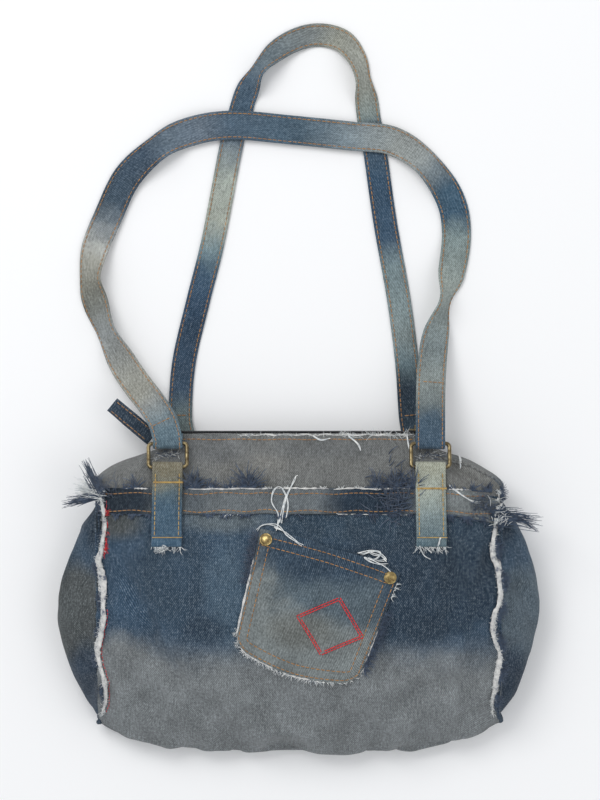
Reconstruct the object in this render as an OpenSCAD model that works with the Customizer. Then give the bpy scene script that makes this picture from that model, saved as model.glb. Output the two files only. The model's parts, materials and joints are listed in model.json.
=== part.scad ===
// Denim shoulder bag with two long handles, lying on its back.
// X runs across the bag, Y from its bottom to its handles, Z out of its front.

/* [Bag body] */
// Width across the front between the two side seams
panel_w = 328; // [290:1:400]
// Height from the bottom fold to the zip at the top
bag_h = 262; // [225:1:320]
// Depth of the lying bag at its fullest
bag_t = 66; // [56:1:84]
// Height of the zip's front edge above the floor
mouth_front_z = 34; // [31:0.5:40]
// Height of the zip's back edge above the floor
mouth_back_z = 15; // [14:0.5:17]
// How far each end panel bulges past its seam
gusset_bulge = 31; // [15:1:45]
// Thickness of the denim in the panels
denim_t = 1.6; // [1.2:0.1:2]

/* [Top] */
// Height of the yoke above the band
yoke_h = 44; // [40:1:52]
// Height of the band across the bag
band_h = 21; // [14:1:26]
// Thickness of the band
band_t = 1.4; // [1:0.1:1.8]
// Length of the zip
zip_l = 212; // [180:1:230]
// Width of the zip's chain of teeth
chain_w = 5; // [4:0.5:6]
// Length of the zip's loose end at the left
zip_tail_l = 44; // [30:1:52]

/* [Straps and rings] */
// Width of the front handle and its tabs
strap_w = 24.6; // [20:0.2:26]
// Width of the back handle and its tabs
back_strap_w = 20; // [16:0.2:24]
// Thickness of a handle
strap_t = 2; // [1.6:0.1:2.2]
// Thickness of the denim folded round a ring
loop_t = 1.6; // [1.2:0.1:2]
// Free space between a ring's wire and the loop round it
loop_gap = 1.3; // [1:0.1:1.6]
// Distance between the middles of the two front tabs
tab_spacing = 213; // [196:1:226]
// Distance between the middles of the two back tabs
back_tab_spacing = 190; // [180:1:204]
// Length of a front tab below its ring
tab_l = 65; // [60:1:80]
// Length of a back tab below its ring
back_tab_l = 46; // [40:1:50]
// Inside width of a ring
ring_in_w = 28; // [27:0.5:34]
// Inside height of a ring
ring_in_h = 16.6; // [14:0.2:20]
// Thickness of a ring's wire
ring_wire = 3.1; // [2.4:0.1:3.6]
// Distance from a ring to the far end of the front handle
front_reach = 262; // [220:1:300]
// Distance from a ring to the far end of the back handle
back_reach = 336; // [310:1:380]

/* [Pocket] */
// Width of the patch pocket at its mouth
pocket_w = 118; // [90:1:130]
// Height of the patch pocket at its point
pocket_h = 108; // [90:1:125]
// How far the pocket turns clockwise
pocket_turn = 17; // [0:1:24]
// Depth of the space inside the pocket
pocket_gap = 7; // [5.5:0.5:9]
// Diameter of a pocket rivet
rivet_d = 10.2; // [8:0.2:12]

/* [Hidden] */
$fn = 32;

clear = 0.3;
overall_l = bag_h - 8 + back_reach + back_strap_w / 2;
bottom_y = -overall_l / 2;
top_y = bottom_y + bag_h;
upper_bar_y = top_y - 8;
lower_bar_y = top_y - 27;
band_top_y = top_y - yoke_h;
band_low_y = band_top_y - band_h;
// Height of the bottom fold, where front and back panels meet
fold_z = 14;
// Line across the bag where it is fullest
full_y = bottom_y + 114;
top_span = top_y + 20 - full_y;
corner_rise = 24;
back_flat_y = top_y - 116;
half_w = panel_w / 2;

function mix(a, b, t) = a + (b - a) * t;
function unit(v) = v / norm(v);
function ease(t) = let (c = max(0, min(1, t))) c * c * (3 - 2 * c);
// Bottom fold's place, which rises towards the corners
function fold_y(x) = bottom_y + corner_rise * pow(min(1, abs(x) / half_w), 4);
function fall(x, y) = y > full_y ? (y - full_y) / top_span : (full_y - y) / (full_y - fold_y(x));
function side_share(x) = 1 - 0.2 * pow(min(1.05, abs(x) / half_w), 2.5);
rise_at_top = pow(1 - pow((top_y - full_y) / top_span, 2.2), 0.625);
crown = (mouth_front_z - fold_z) / rise_at_top;
// Height of the front skin: its crown swells from the mouth's to the bag's full depth
function front_z(x, y) =
    let (r = min(0.9995, fall(x, y)), swell = ease((top_y - y) / 110))
    fold_z + mix(crown, (bag_t - fold_z) * side_share(x), swell) * pow(1 - pow(r, 2.2), 0.625);
function back_z(x, y) =
    let (up = max(0, (y - back_flat_y) / (top_y - back_flat_y)),
        low = max(0, min(1, (fold_y(x) + fold_z - y) / fold_z)))
    mouth_back_z * pow(up, 1.15) + (fold_z - clear) * (1 - sqrt(1 - low * low));
function skin_z(side, x, y) = side > 0 ? front_z(x, y) : back_z(x, y);
// Point at height h outside the skin: side is 1 on the front and -1 on the back
function on_skin(side, x, y, h) =
    let (d = 0.4, dy = y - d < fold_y(x) ? 0 : -d,
        sx = (skin_z(side, x + d, y) - skin_z(side, x - d, y)) / (2 * d),
        sy = (skin_z(side, x, y + d) - skin_z(side, x, y + dy)) / (d - dy),
        n = unit([-sx, -sy, 1]) * side)
    [x, y, skin_z(side, x, y)] + n * h;

// Closed sheet between two grids of points with the same rows and columns
module sheet(upper, lower) {
    rows = len(upper);
    cols = len(upper[0]);
    total = rows * cols;
    at = function(r, c) r * cols + c;
    points = [for (g = [upper, lower], row = g, p = row) p];
    faces = concat(
        [for (r = [0 : rows - 2], c = [0 : cols - 2], k = [0, 1])
            k == 0 ? [at(r, c), at(r + 1, c), at(r + 1, c + 1)]
                : [at(r, c), at(r + 1, c + 1), at(r, c + 1)]],
        [for (r = [0 : rows - 2], c = [0 : cols - 2], k = [0, 1])
            [for (i = k == 0 ? [at(r, c), at(r + 1, c + 1), at(r + 1, c)]
                : [at(r, c), at(r, c + 1), at(r + 1, c + 1)]) i + total]],
        [for (c = [0 : cols - 2], k = [0, 1])
            let (a = at(0, c), b = at(0, c + 1))
            k == 0 ? [a, b, b + total] : [a, b + total, a + total]],
        [for (c = [0 : cols - 2], k = [0, 1])
            let (a = at(rows - 1, c + 1), b = at(rows - 1, c))
            k == 0 ? [a, b, b + total] : [a, b + total, a + total]],
        [for (r = [0 : rows - 2], k = [0, 1])
            let (a = at(r + 1, 0), b = at(r, 0))
            k == 0 ? [a, b, b + total] : [a, b + total, a + total]],
        [for (r = [0 : rows - 2], k = [0, 1])
            let (a = at(r, cols - 1), b = at(r + 1, cols - 1))
            k == 0 ? [a, b, b + total] : [a, b + total, a + total]]);
    polyhedron(points, faces);
}
// Sheet laid on the skin: plan(u, v) gives x and y, low and high its two heights
module laid(side, plan, low, high, cols, rows) {
    grid = function(h) [for (r = [0 : rows]) [for (c = [0 : cols])
        let (u = c / cols, v = r / rows, p = plan(side > 0 ? u : 1 - u, v))
        on_skin(side, p[0], p[1], h(u, v))]];
    sheet(grid(high), grid(low));
}

// Half width of the yoke and panels at each height: the top corners slant in
function slant(y) = mix(half_w, zip_l / 2 - 8, ease((y - band_top_y) / yoke_h));
module main_sheet(side) {
    low_t = function(u, v) -denim_t;
    high_t = function(u, v) 0;
    start = band_low_y + band_h / 2 - clear;
    plan = function(u, v)
        let (x = mix(-half_w, half_w, u),
            y = v < 0.5 ? mix(start, full_y, v * 2)
                : full_y - (full_y - fold_y(x) - clear) * sin((v - 0.5) * 180))
        [x, y];
    laid(side, plan, low_t, high_t, 18, 18);
}
module yoke_sheet(side) {
    low_t = function(u, v) -denim_t;
    high_t = function(u, v) 0;
    plan = function(u, v)
        let (y = mix(top_y - clear, band_low_y + band_h / 2 + clear, v))
        [mix(-slant(y), slant(y), u), y];
    laid(side, plan, low_t, high_t, 18, 8);
}
module band_sheet(side) {
    plan = function(u, v)
        [mix(1 - half_w, half_w - 1, u), mix(band_top_y, band_low_y, v)];
    laid(side, plan, function(u, v) clear, function(u, v) clear + band_t, 18, 4);
}
module front_panel() {
    color("#55697a") main_sheet(1);
}
module back_panel() {
    color("#5b6b78") main_sheet(-1);
}
module front_yoke() {
    color("#8a8f92") yoke_sheet(1);
}
module back_yoke() {
    color("#83898d") yoke_sheet(-1);
}
module front_band() {
    color("#5d6f80") band_sheet(1);
}
module back_band() {
    color("#5d6f80") band_sheet(-1);
}

// Side seam's plan from the zip's end (0) round the top corner to the bottom fold (1)
function seam(sign, q) =
    let (y = q < 0.25 ? mix(top_y - 3, band_top_y, q * 4)
        : mix(band_top_y, bottom_y + corner_rise + 3, (q - 0.25) / 0.75))
    [sign * (slant(y) + 1), y];
module gusset(sign) {
    rows = 26;
    cols = 10;
    line = function(q, h)
        let (s = seam(sign, q), s2 = seam(sign, q + 0.01), s1 = seam(sign, q - 0.01),
            along = unit(s2 - s1), out = [along[1], -along[0]] * -sign,
            zf = front_z(sign * half_w, s[1]) - 2.4, zb = back_z(sign * half_w, s[1]) + 3.6,
            deep = max(4, gusset_bulge * sin(180 * max(0, (q - 0.25) / 0.75))))
        [for (c = [0 : cols])
            let (w = c / cols, a = 180 * w,
                run = deep * PI * cos(a), drop = zb - zf,
                n = unit([-drop, run]), o = 1.2 + deep * sin(a) + n[0] * h,
                z = mix(zf, zb, w) + n[1] * h)
            [s[0] + out[0] * o, s[1] + out[1] * o, z]];
    outer = [for (r = [0 : rows]) line(0.01 + 0.98 * r / rows, denim_t / 2)];
    inner = [for (r = [0 : rows]) line(0.01 + 0.98 * r / rows, -denim_t / 2)];
    flip = function(g) [for (row = g) [for (c = [cols : -1 : 0]) row[c]]];
    if (sign < 0) sheet(flip(outer), flip(inner));
    else sheet(outer, inner);
}
module left_gusset() {
    color("#3f566c") gusset(-1);
}
module right_gusset() {
    color("#3f566c") gusset(1);
}

// Raw seam edges, which stand proud of the front seams and lie flat under the back ones
seam_edge_w = 5;
seam_edge_h = 4;
module front_seam_edge(sign) {
    plan = function(u, v)
        let (q = mix(0.27, 0.985, v), s = seam(sign, q))
        [s[0] - (sign > 0 ? mix(seam_edge_w, 1.2, u) : -mix(1.2, seam_edge_w, u)), s[1]];
    laid(1, plan, function(u, v) clear + (v < 0.16 ? band_t + clear : 0),
        function(u, v) clear + seam_edge_h, 2, 20);
}
module back_seam_edge(sign) {
    outer_x = half_w + 1 + seam_edge_w;
    low = bottom_y + corner_rise + 26;
    translate([sign > 0 ? half_w + 1 : -outer_x, low, 0])
        cube([seam_edge_w, back_flat_y - low, 2]);
}
module front_left_seam_edge() {
    color("#d9dbd6") front_seam_edge(-1);
}
module front_right_seam_edge() {
    color("#d9dbd6") front_seam_edge(1);
}
module back_left_seam_edge() {
    color("#d9dbd6") back_seam_edge(-1);
}
module back_right_seam_edge() {
    color("#d9dbd6") back_seam_edge(1);
}

// Zip, which faces the handles: two tapes, the chain, its stops, slider and pull
tape_t = 0.8;
chain_t = 2.4;
zip_y = top_y + 1;
zip_mid_z = (mouth_front_z + mouth_back_z) / 2 - 0.8;
tape_edge = chain_w / 2 + clear;
slider_l = 13;
slider_w = 9;
slider_y = zip_y + chain_t / 2;
slider_plate = 1.2;
stop_l = 3.6;
slider_x = zip_l / 2 - slider_l / 2 - stop_l + 0.6;
// The slider's bridge, and the two ears that hold the pull's pin
bridge_t = 1.4;
bridge_l = 6;
ear_l = 4;
ear_h = 3.2;
ear_t = 1;
ear_gap = 3.2;
pin_y = slider_y + clear + slider_plate + ear_h / 2;
pull_l = 16;
pull_w = 6;
pull_t = 1.4;
pull_neck = 5;
pull_barrel_d = 2.6;
pull_pin_d = 1.6;
module tape(z0, z1) {
    translate([-zip_l / 2, zip_y - tape_t / 2, z0]) cube([zip_l, tape_t, z1 - z0]);
}
module front_zip_tape() {
    color("#15171b") tape(zip_mid_z + tape_edge, mouth_front_z - denim_t);
}
module back_zip_tape() {
    color("#15171b") tape(mouth_back_z + denim_t, zip_mid_z - tape_edge);
}
// Two rows of teeth, with the slider's bridge running between them
module zip_teeth() {
    row = (chain_w - bridge_t) / 2 - clear;
    start = -zip_l / 2 + stop_l + clear;
    color("#1d1f24") for (z = [-chain_w / 2, chain_w / 2 - row])
        translate([start, zip_y - chain_t / 2, zip_mid_z + z]) cube([-2 * start, chain_t, row]);
}
module zip_stops() {
    color("#8d7a55") for (x = [-zip_l / 2, zip_l / 2 - stop_l])
        translate([x, zip_y - chain_t / 2, zip_mid_z - chain_w / 2]) cube([stop_l, chain_t, chain_w]);
}
// Loose end of the tape in folded denim, which sticks out past the left corner
zip_tail_w = 14;
zip_tail_t = 2.4;
zip_tail_turn = 140;
module zip_tail() {
    color("#26364a") translate([-zip_l / 2 - zip_tail_w, top_y - 4, zip_mid_z + 2])
        rotate([0, 0, zip_tail_turn]) translate([0, -zip_tail_w / 2, -zip_tail_t / 2])
            cube([zip_tail_l, zip_tail_w, zip_tail_t]);
}
module zip_slider() {
    front = slider_y + clear;
    back = zip_y - chain_t / 2 - clear - slider_plate;
    back_w = chain_w - 2 * clear;
    color("#8d7a55") translate([slider_x, 0, zip_mid_z]) difference() {
        union() {
            translate([-slider_l / 2, front, -slider_w / 2]) cube([slider_l, slider_plate, slider_w]);
            translate([-slider_l / 2, back, -back_w / 2]) cube([slider_l, slider_plate, back_w]);
            translate([-bridge_l / 2, back, -bridge_t / 2])
                cube([bridge_l, front + slider_plate - back, bridge_t]);
            for (z = [-ear_gap / 2 - ear_t, ear_gap / 2])
                translate([-ear_l / 2, front + slider_plate - 0.2, z]) cube([ear_l, ear_h + 0.2, ear_t]);
        }
        translate([0, pin_y, -slider_w / 2]) cylinder(d = pull_pin_d, h = slider_w);
    }
}
module zip_pull() {
    pin_l = ear_gap + 2 * ear_t;
    barrel_l = ear_gap - clear - 0.1;
    color("#8d7a55") translate([slider_x, pin_y, zip_mid_z]) {
        translate([0, 0, -pin_l / 2]) cylinder(d = pull_pin_d - 0.1, h = pin_l);
        translate([0, 0, -barrel_l / 2]) cylinder(d = pull_barrel_d, h = barrel_l);
        translate([0, -pull_t / 2, -barrel_l / 2]) cube([pull_neck, pull_t, barrel_l]);
        translate([pull_neck - 1, -pull_t / 2, -pull_w / 2]) cube([pull_l - pull_neck + 1, pull_t, pull_w]);
    }
}

// Rings: lower bar in the tab's loop, upper bar in the handle's loop
wire_r = ring_wire / 2;
loop_in_r = wire_r + loop_gap;
loop_out_r = loop_in_r + loop_t;
bar_gap = ring_in_h + ring_wire;
ring_bend = 3;
function tab_x(side, sign) = sign * (side > 0 ? tab_spacing : back_tab_spacing) / 2;
function width_of(side) = side > 0 ? strap_w : back_strap_w;
// Inner edge of a tab, where the skin under it stands highest
function tab_skin(side, y, h) =
    on_skin(side, tab_x(side, 1) - width_of(side) / 2, y, h);
function lower_bar_z(side) =
    skin_z(side, tab_x(side, 1) - width_of(side) / 2, lower_bar_y) + side * (clear + loop_out_r + 0.6);
function upper_bar_z(side) =
    side > 0 ? lower_bar_z(side) - sqrt(pow(bar_gap, 2) - pow(upper_bar_y - lower_bar_y, 2))
        : loop_in_r + strap_t + clear;
function bar_y(side) =
    side > 0 ? upper_bar_y
        : lower_bar_y + sqrt(pow(bar_gap, 2) - pow(upper_bar_z(side) - lower_bar_z(side), 2));
module ring_wire_part() {
    w = ring_in_w + ring_wire;
    for (y = [0, bar_gap]) translate([-w / 2 + ring_bend, y, 0]) rotate([0, 90, 0])
        cylinder(r = wire_r, h = w - 2 * ring_bend);
    for (x = [-w / 2, w / 2]) translate([x, ring_bend, 0]) rotate([-90, 0, 0])
        cylinder(r = wire_r, h = bar_gap - 2 * ring_bend);
    for (c = [[-1, 0, 180], [1, 0, 270], [1, 1, 0], [-1, 1, 90]])
        translate([c[0] * (w / 2 - ring_bend), c[1] == 0 ? ring_bend : bar_gap - ring_bend, 0])
            rotate([0, 0, c[2]]) rotate_extrude(angle = 90) translate([ring_bend, 0]) circle(wire_r);
}
// How far the front left ring leans in its own plane
ring_lean = 1.2;
// A ring lies between its two bars
module ring(side, sign, lean) {
    dz = upper_bar_z(side) - lower_bar_z(side);
    dy = bar_y(side) - lower_bar_y;
    color("#8a7448") translate([tab_x(side, sign), lower_bar_y, lower_bar_z(side)])
        rotate([atan2(dz, dy), 0, 0]) translate([0, bar_gap / 2, 0]) rotate([0, 0, lean])
        translate([0, -bar_gap / 2, 0]) ring_wire_part();
}
module front_left_ring() {
    ring(1, -1, ring_lean);
}
module front_right_ring() {
    ring(1, 1, 0);
}
module back_left_ring() {
    ring(-1, -1, 0);
}
module back_right_ring() {
    ring(-1, 1, 0);
}

// A tab: one strip, folded round the ring's lower bar, sewn down over the band
module tab(side, sign) {
    rise = 2 * clear + band_t;
    far = lower_bar_y - (side > 0 ? tab_l : back_tab_l);
    steps = 9;
    near = lower_bar_y - loop_in_r - loop_t / 2;
    ys = [for (i = [0 : steps]) mix(near, far, i / steps)];
    above = side > 0 ? rise + loop_t : rise;
    below = side > 0 ? rise : rise + loop_t;
    top_line = [for (y = ys) tab_skin(side, y, above)];
    low_line = [for (i = [steps : -1 : 0]) tab_skin(side, ys[i], below)];
    outline = [for (p = concat(top_line, low_line)) [p[1], p[2]]];
    w = width_of(side);
    color(side > 0 ? "#7f8b90" : "#5c6f80") translate([tab_x(side, sign) - w / 2, 0, 0])
        rotate([90, 0, 90]) linear_extrude(w) difference() {
            union() {
                polygon(outline);
                translate([lower_bar_y, lower_bar_z(side)]) rotate(50) circle(loop_out_r);
            }
            translate([lower_bar_y, lower_bar_z(side)]) rotate(50) circle(loop_in_r);
        }
}
module front_left_tab() {
    tab(1, -1);
}
module front_right_tab() {
    tab(1, 1);
}
module back_left_tab() {
    tab(-1, -1);
}
module back_right_tab() {
    tab(-1, 1);
}

// Patch pocket: five-sided, turned, sewn on three sides, open along its top edge
pocket_x = 25;
pocket_y = band_low_y - 30;
pocket_side = 0.88;
function pocket_plan(u, v) =
    let (half = mix(1, 0.86, v) * pocket_w / 2, x = mix(-half, half, u),
        point = (pocket_h * (1 - pocket_side)) * (1 - abs(2 * u - 1)),
        y = -v * (pocket_h * pocket_side + point))
    [pocket_x + x * cos(pocket_turn) + y * sin(pocket_turn),
        pocket_y - x * sin(pocket_turn) + y * cos(pocket_turn)];
function puff(u, v) = pocket_gap * pow(max(0, sin(180 * u)), 0.5) * pow(cos(90 * v), 0.6);
module patch_pocket() {
    color("#62798a") laid(1, function(u, v) pocket_plan(u, v),
        function(u, v) clear + puff(u, v), function(u, v) clear + puff(u, v) + denim_t, 14, 14);
}
module pocket_rivets() {
    // Domed head outside, small washer inside the cloth
    color("#8f7440") for (u = [0.06, 0.94]) {
        p = pocket_plan(u, 0.05);
        base = on_skin(1, p[0], p[1], clear + puff(u, 0.05) + denim_t);
        translate([base[0], base[1], base[2] + 1.6]) intersection() {
            translate([0, 0, -4]) sphere(r = 6.6);
            cylinder(d = rivet_d, h = 4);
        }
    }
}

// Handles: a ribbon swept along [x, y, lift, roll] points, with a loop at each end
// Length of the end sewn back under the handle, past the ring
fold_tail = 8;
function spline(p, t) =
    let (n = len(p) - 1, i = min(n - 1, floor(t)), f = t - i,
        a = p[max(0, i - 1)], b = p[i], c = p[i + 1], d = p[min(n, i + 2)])
    0.5 * (2 * b + (c - a) * f + (2 * a - 5 * b + 4 * c - d) * f * f
        + (3 * b - a - 3 * c + d) * f * f * f);
// Stations of the flat run: middle, direction across and direction through the thickness
function run_stations(route, w) =
    let (step = 0.25, last = len(route) - 1)
    [for (t = [0 : step : last])
        let (s = spline(route, t), s1 = spline(route, max(0, t - 0.05)),
            s2 = spline(route, min(last, t + 0.05)), along = unit([s2[0] - s1[0], s2[1] - s1[1]]),
            across = [along[1], -along[0]], roll = s[3])
        [[s[0], s[1], s[2] + abs(sin(roll)) * w / 2 + cos(roll) * strap_t / 2],
            [across[0] * cos(roll), across[1] * cos(roll), sin(roll)],
            [-across[0] * sin(roll), -across[1] * sin(roll), cos(roll)]]];
// Stations of the end that folds under the ring's upper bar, from its tail to its top
function turn_stations(side, sign) =
    let (r = loop_in_r + strap_t / 2, x = tab_x(side, sign), wide = [-sign, 0, 0])
    concat([[[x, bar_y(side) + fold_tail, upper_bar_z(side) - r], wide, [0, 0, -1]]],
        [for (a = [270 : -15 : 90])
            let (out = [0, cos(a), sin(a)])
            [[x, bar_y(side), upper_bar_z(side)] + out * r, wide, out]]);
module ribbon(stations, w) {
    edge = function(side, face) [for (s = stations) s[0] + s[1] * side * w / 2 + s[2] * face * strap_t / 2];
    grid = function(face) let (a = edge(-1, face), b = edge(1, face)) [for (i = [0 : len(a) - 1]) [a[i], b[i]]];
    sheet(grid(1), grid(-1));
}
// Shapes of the lying handles, from left ring to right, at the reach that they were laid out for
front_bends_reach = 262;
back_bends_reach = 336;
front_bends = [[-111, 18, 39, 0], [-120, 32, 30, 0], [-132, 47, 21, 0], [-144, 64, 11, 8],
    [-158, 90, 1, 46], [-168, 116, 0, 25],
    [-172, 137, 0, 42], [-168, 161, 0, 16], [-158, 186, 0, 6], [-142, 219, 0, 8],
    [-117, 243, 0.5, 24], [-92, 256, 3.4, 0], [-56, 262, 3.8, 0], [-6, 258, 3.6, 0],
    [43, 253, 3.8, 0], [77, 249, 3.4, 0], [104, 231, 0.5, 22], [124, 203, 0, 6],
    [130, 174, 0, 2], [126, 141, 0, 20], [120, 116, 0, 66], [112, 86, 8, 18],
    [108, 50, 25, 0]];
back_bends = [[-98, 22, 1, 0], [-95, 66, 0, 0], [-83, 118, 0, 0], [-71, 166, 0, 0],
    [-56, 244, 0, 0], [-48, 274, 0, 0], [-43, 289, 0, 6], [-34, 306, 0, 52], [-18, 323, 0, 20],
    [0, 333, 0, 4], [18, 336, 0, 0], [36, 331, 0, 8], [48, 316, 0, 30], [53, 298, 0, 46],
    [56, 280, 0, 6], [58, 265, 0, 0], [62, 245, 0, 0], [71, 182, 0, 0], [82, 120, 0, 0], [89, 66, 0, 0],
    [92, 22, 1, 0]];
function placed(bends, side, reach, laid_reach) =
    let (k = reach / laid_reach, top_z = upper_bar_z(side) + loop_in_r,
        ends = [for (sign = [-1, 1]) [tab_x(side, sign), bar_y(side) + 4, top_z, 0]])
    concat([ends[0]], [for (b = bends) [b[0], bar_y(side) + b[1] * k, b[2], b[3]]], [ends[1]]);
module handle(side, bends, reach, laid_reach) {
    w = width_of(side);
    right = turn_stations(side, 1);
    ribbon(concat(turn_stations(side, -1), run_stations(placed(bends, side, reach, laid_reach), w),
        [for (i = [len(right) - 1 : -1 : 0]) right[i]]), w);
}
module front_handle() {
    color("#6d8093") handle(1, front_bends, front_reach, front_bends_reach);
}
module back_handle() {
    color("#5d7288") handle(-1, back_bends, back_reach, back_bends_reach);
}

front_panel();
back_panel();
left_gusset();
right_gusset();
front_yoke();
back_yoke();
front_band();
back_band();
front_zip_tape();
back_zip_tape();
zip_teeth();
zip_stops();
zip_tail();
zip_slider();
zip_pull();
front_left_tab();
front_right_tab();
back_left_tab();
back_right_tab();
patch_pocket();
pocket_rivets();
front_left_seam_edge();
front_right_seam_edge();
back_left_seam_edge();
back_right_seam_edge();
front_left_ring();
front_right_ring();
back_left_ring();
back_right_ring();
front_handle();
back_handle();
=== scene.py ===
import json
import math
import random

import bmesh
import bpy
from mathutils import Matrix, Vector, noise
from mathutils.bvhtree import BVHTree

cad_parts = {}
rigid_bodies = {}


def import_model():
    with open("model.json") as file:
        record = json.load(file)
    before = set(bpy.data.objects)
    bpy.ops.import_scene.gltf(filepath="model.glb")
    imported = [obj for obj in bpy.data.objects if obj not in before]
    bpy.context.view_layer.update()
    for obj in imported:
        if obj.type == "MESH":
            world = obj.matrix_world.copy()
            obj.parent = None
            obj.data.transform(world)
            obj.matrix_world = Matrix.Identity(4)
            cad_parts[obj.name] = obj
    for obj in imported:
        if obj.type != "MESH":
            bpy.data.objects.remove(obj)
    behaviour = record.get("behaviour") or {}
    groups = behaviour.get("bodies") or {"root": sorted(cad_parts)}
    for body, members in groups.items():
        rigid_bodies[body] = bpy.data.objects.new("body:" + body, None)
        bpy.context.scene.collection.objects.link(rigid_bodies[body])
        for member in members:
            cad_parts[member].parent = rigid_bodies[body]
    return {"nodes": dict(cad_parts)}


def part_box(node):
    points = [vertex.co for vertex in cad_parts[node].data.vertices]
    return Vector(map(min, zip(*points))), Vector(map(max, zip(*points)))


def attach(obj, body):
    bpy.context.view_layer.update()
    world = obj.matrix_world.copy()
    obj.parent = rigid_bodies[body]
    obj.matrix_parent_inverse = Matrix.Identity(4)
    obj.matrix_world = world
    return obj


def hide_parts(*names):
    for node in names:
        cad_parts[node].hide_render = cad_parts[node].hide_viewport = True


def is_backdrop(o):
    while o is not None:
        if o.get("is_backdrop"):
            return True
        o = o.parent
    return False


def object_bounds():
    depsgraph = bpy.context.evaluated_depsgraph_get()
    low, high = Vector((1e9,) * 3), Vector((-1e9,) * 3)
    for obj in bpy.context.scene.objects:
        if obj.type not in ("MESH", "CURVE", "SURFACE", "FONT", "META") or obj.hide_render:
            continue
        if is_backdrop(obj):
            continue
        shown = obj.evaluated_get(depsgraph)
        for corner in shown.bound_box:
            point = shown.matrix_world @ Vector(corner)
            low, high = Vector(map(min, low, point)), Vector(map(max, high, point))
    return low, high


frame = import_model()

cad_low, cad_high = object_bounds()
bpy.ops.object.select_all(action="DESELECT")

# ---------------------------------------------------------------- camera, light and floor
# The bag lies on its back on a pale floor and is looked at straight from above,
# in broad soft light from the upper left with a large fill.
view_height = 2.6
view_middle = Vector((0.0008, -0.0107, 0.02))
view_tall = 0.656
camera_data = bpy.data.cameras.new("camera")
camera_data.lens = 36 * view_height / view_tall
camera = bpy.data.objects.new("camera", camera_data)
camera.location = view_middle + Vector((0, 0, view_height))
bpy.context.scene.collection.objects.link(camera)
bpy.context.scene.camera = camera

world = bpy.data.worlds.new("studio")
world.use_nodes = True
world.node_tree.nodes["Background"].inputs["Color"].default_value = (0.95, 0.97, 1.0, 1)
world.node_tree.nodes["Background"].inputs["Strength"].default_value = 0.66
bpy.context.scene.world = world
bpy.context.scene.view_settings.view_transform = "Standard"
for name, place, size, power in [("key", (-0.9, 1.1, 1.9), 1.3, 24), ("fill", (1.3, -0.6, 1.7), 1.6, 7)]:
    light_data = bpy.data.lights.new(name, "AREA")
    light_data.size = size
    light_data.energy = power
    light = bpy.data.objects.new(name, light_data)
    light.location = place
    light.rotation_euler = (-Vector(place)).to_track_quat("-Z", "Y").to_euler()
    bpy.context.scene.collection.objects.link(light)

bpy.ops.mesh.primitive_plane_add(size=12, location=(0, 0, cad_low[2] - 0.0002))
floor = bpy.context.active_object
floor.name = "floor"
floor_finish = bpy.data.materials.new("floor_white")
floor_finish.use_nodes = True
floor_finish.node_tree.nodes["Principled BSDF"].inputs["Base Color"].default_value = (0.93, 0.93, 0.93, 1)
floor_finish.node_tree.nodes["Principled BSDF"].inputs["Roughness"].default_value = 0.9
floor.data.materials.append(floor_finish)
floor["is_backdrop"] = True

# ---------------------------------------------------------------- bag body
# The denim body: front, back and two end panels sewn into one slack bag. It is made whole, filled
# a little by cloth simulation so that it puckers at its seams, and then cut along those seams.
front_low, front_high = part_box("front_panel")
yoke_low, yoke_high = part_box("front_yoke")
gusset_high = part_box("right_gusset")[1]
tape_low, tape_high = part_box("front_zip_tape")
half_width = front_high.x
top_y = yoke_high.y
fold_y = front_low.y
band_y = (yoke_low.y + front_high.y) / 2
mouth_half = (tape_high.x - tape_low.x) / 2 - 0.008
bulge = gusset_high.x - half_width - 0.003
corner_rise = 0.024
full_y = fold_y + 0.114
fold_z = 0.014
band_top_y = band_y + 0.0105
denim_t = 0.0016


def skin_tree(*names):
    """One tree to cast rays at, of several CAD nodes."""
    points, faces = [], []
    for name in names:
        mesh = frame["nodes"][name].data
        start = len(points)
        points += [v.co.copy() for v in mesh.vertices]
        faces += [[start + i for i in p.vertices] for p in mesh.polygons]
    return BVHTree.FromPolygons(points, faces)


front_tree = skin_tree("front_panel", "front_yoke")
back_tree = skin_tree("back_panel", "back_yoke")


def slant(y):
    """Half width of the body at a height: its top corners slant in towards the zip."""
    t = min(1, max(0, (y - band_top_y) / (top_y - band_top_y)))
    t = t * t * (3 - 2 * t)
    return half_width + (mouth_half - half_width) * t


def fold_line(x):
    return fold_y + corner_rise * min(1, abs(x) / half_width) ** 4


def cad_height(side, x, y):
    """Height of the CAD skin over a point of the plan, seen from outside on that side."""
    if side > 0:
        hit = front_tree.ray_cast(Vector((x, y, 0.2)), Vector((0, 0, -1)))[0]
    else:
        hit = back_tree.ray_cast(Vector((x, y, -0.1)), Vector((0, 0, 1)))[0]
    return hit.z if hit else None


columns, rows = 64, 52
inset = 0.0012


def body_point(side, u, v):
    """Point of the body's front or back skin: u from left to right, v from the zip to the fold."""
    split = 0.56
    if v < split:
        y = top_y + (full_y - top_y) * v / split
        half = slant(y)
    else:
        half = half_width
        x = (2 * u - 1) * half
        y = full_y - (full_y - fold_line(x)) * math.sin((v - split) / (1 - split) * math.pi / 2)
    x = (2 * u - 1) * half
    near_x = max(-half + inset, min(half - inset, x))
    near_y = max(fold_line(x) + 0.0006, min(top_y - 0.0006, y))
    if abs(near_y - band_y) < 0.0005:
        near_y = band_y + 0.0006
    z = cad_height(side, near_x, near_y)
    if z is None:
        z = fold_z
    if v == 1:
        z = fold_z
    if side < 0 and y > -0.16:
        z = max(z, 0.0)
    return Vector((x, y, z))


def piece_of(name, made):
    """Turns a mesh in the making into an object of that name."""
    mesh = bpy.data.meshes.new(name)
    made.to_mesh(mesh)
    made.free()
    piece = bpy.data.objects.new(name, mesh)
    bpy.context.scene.collection.objects.link(piece)
    return piece

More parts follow.
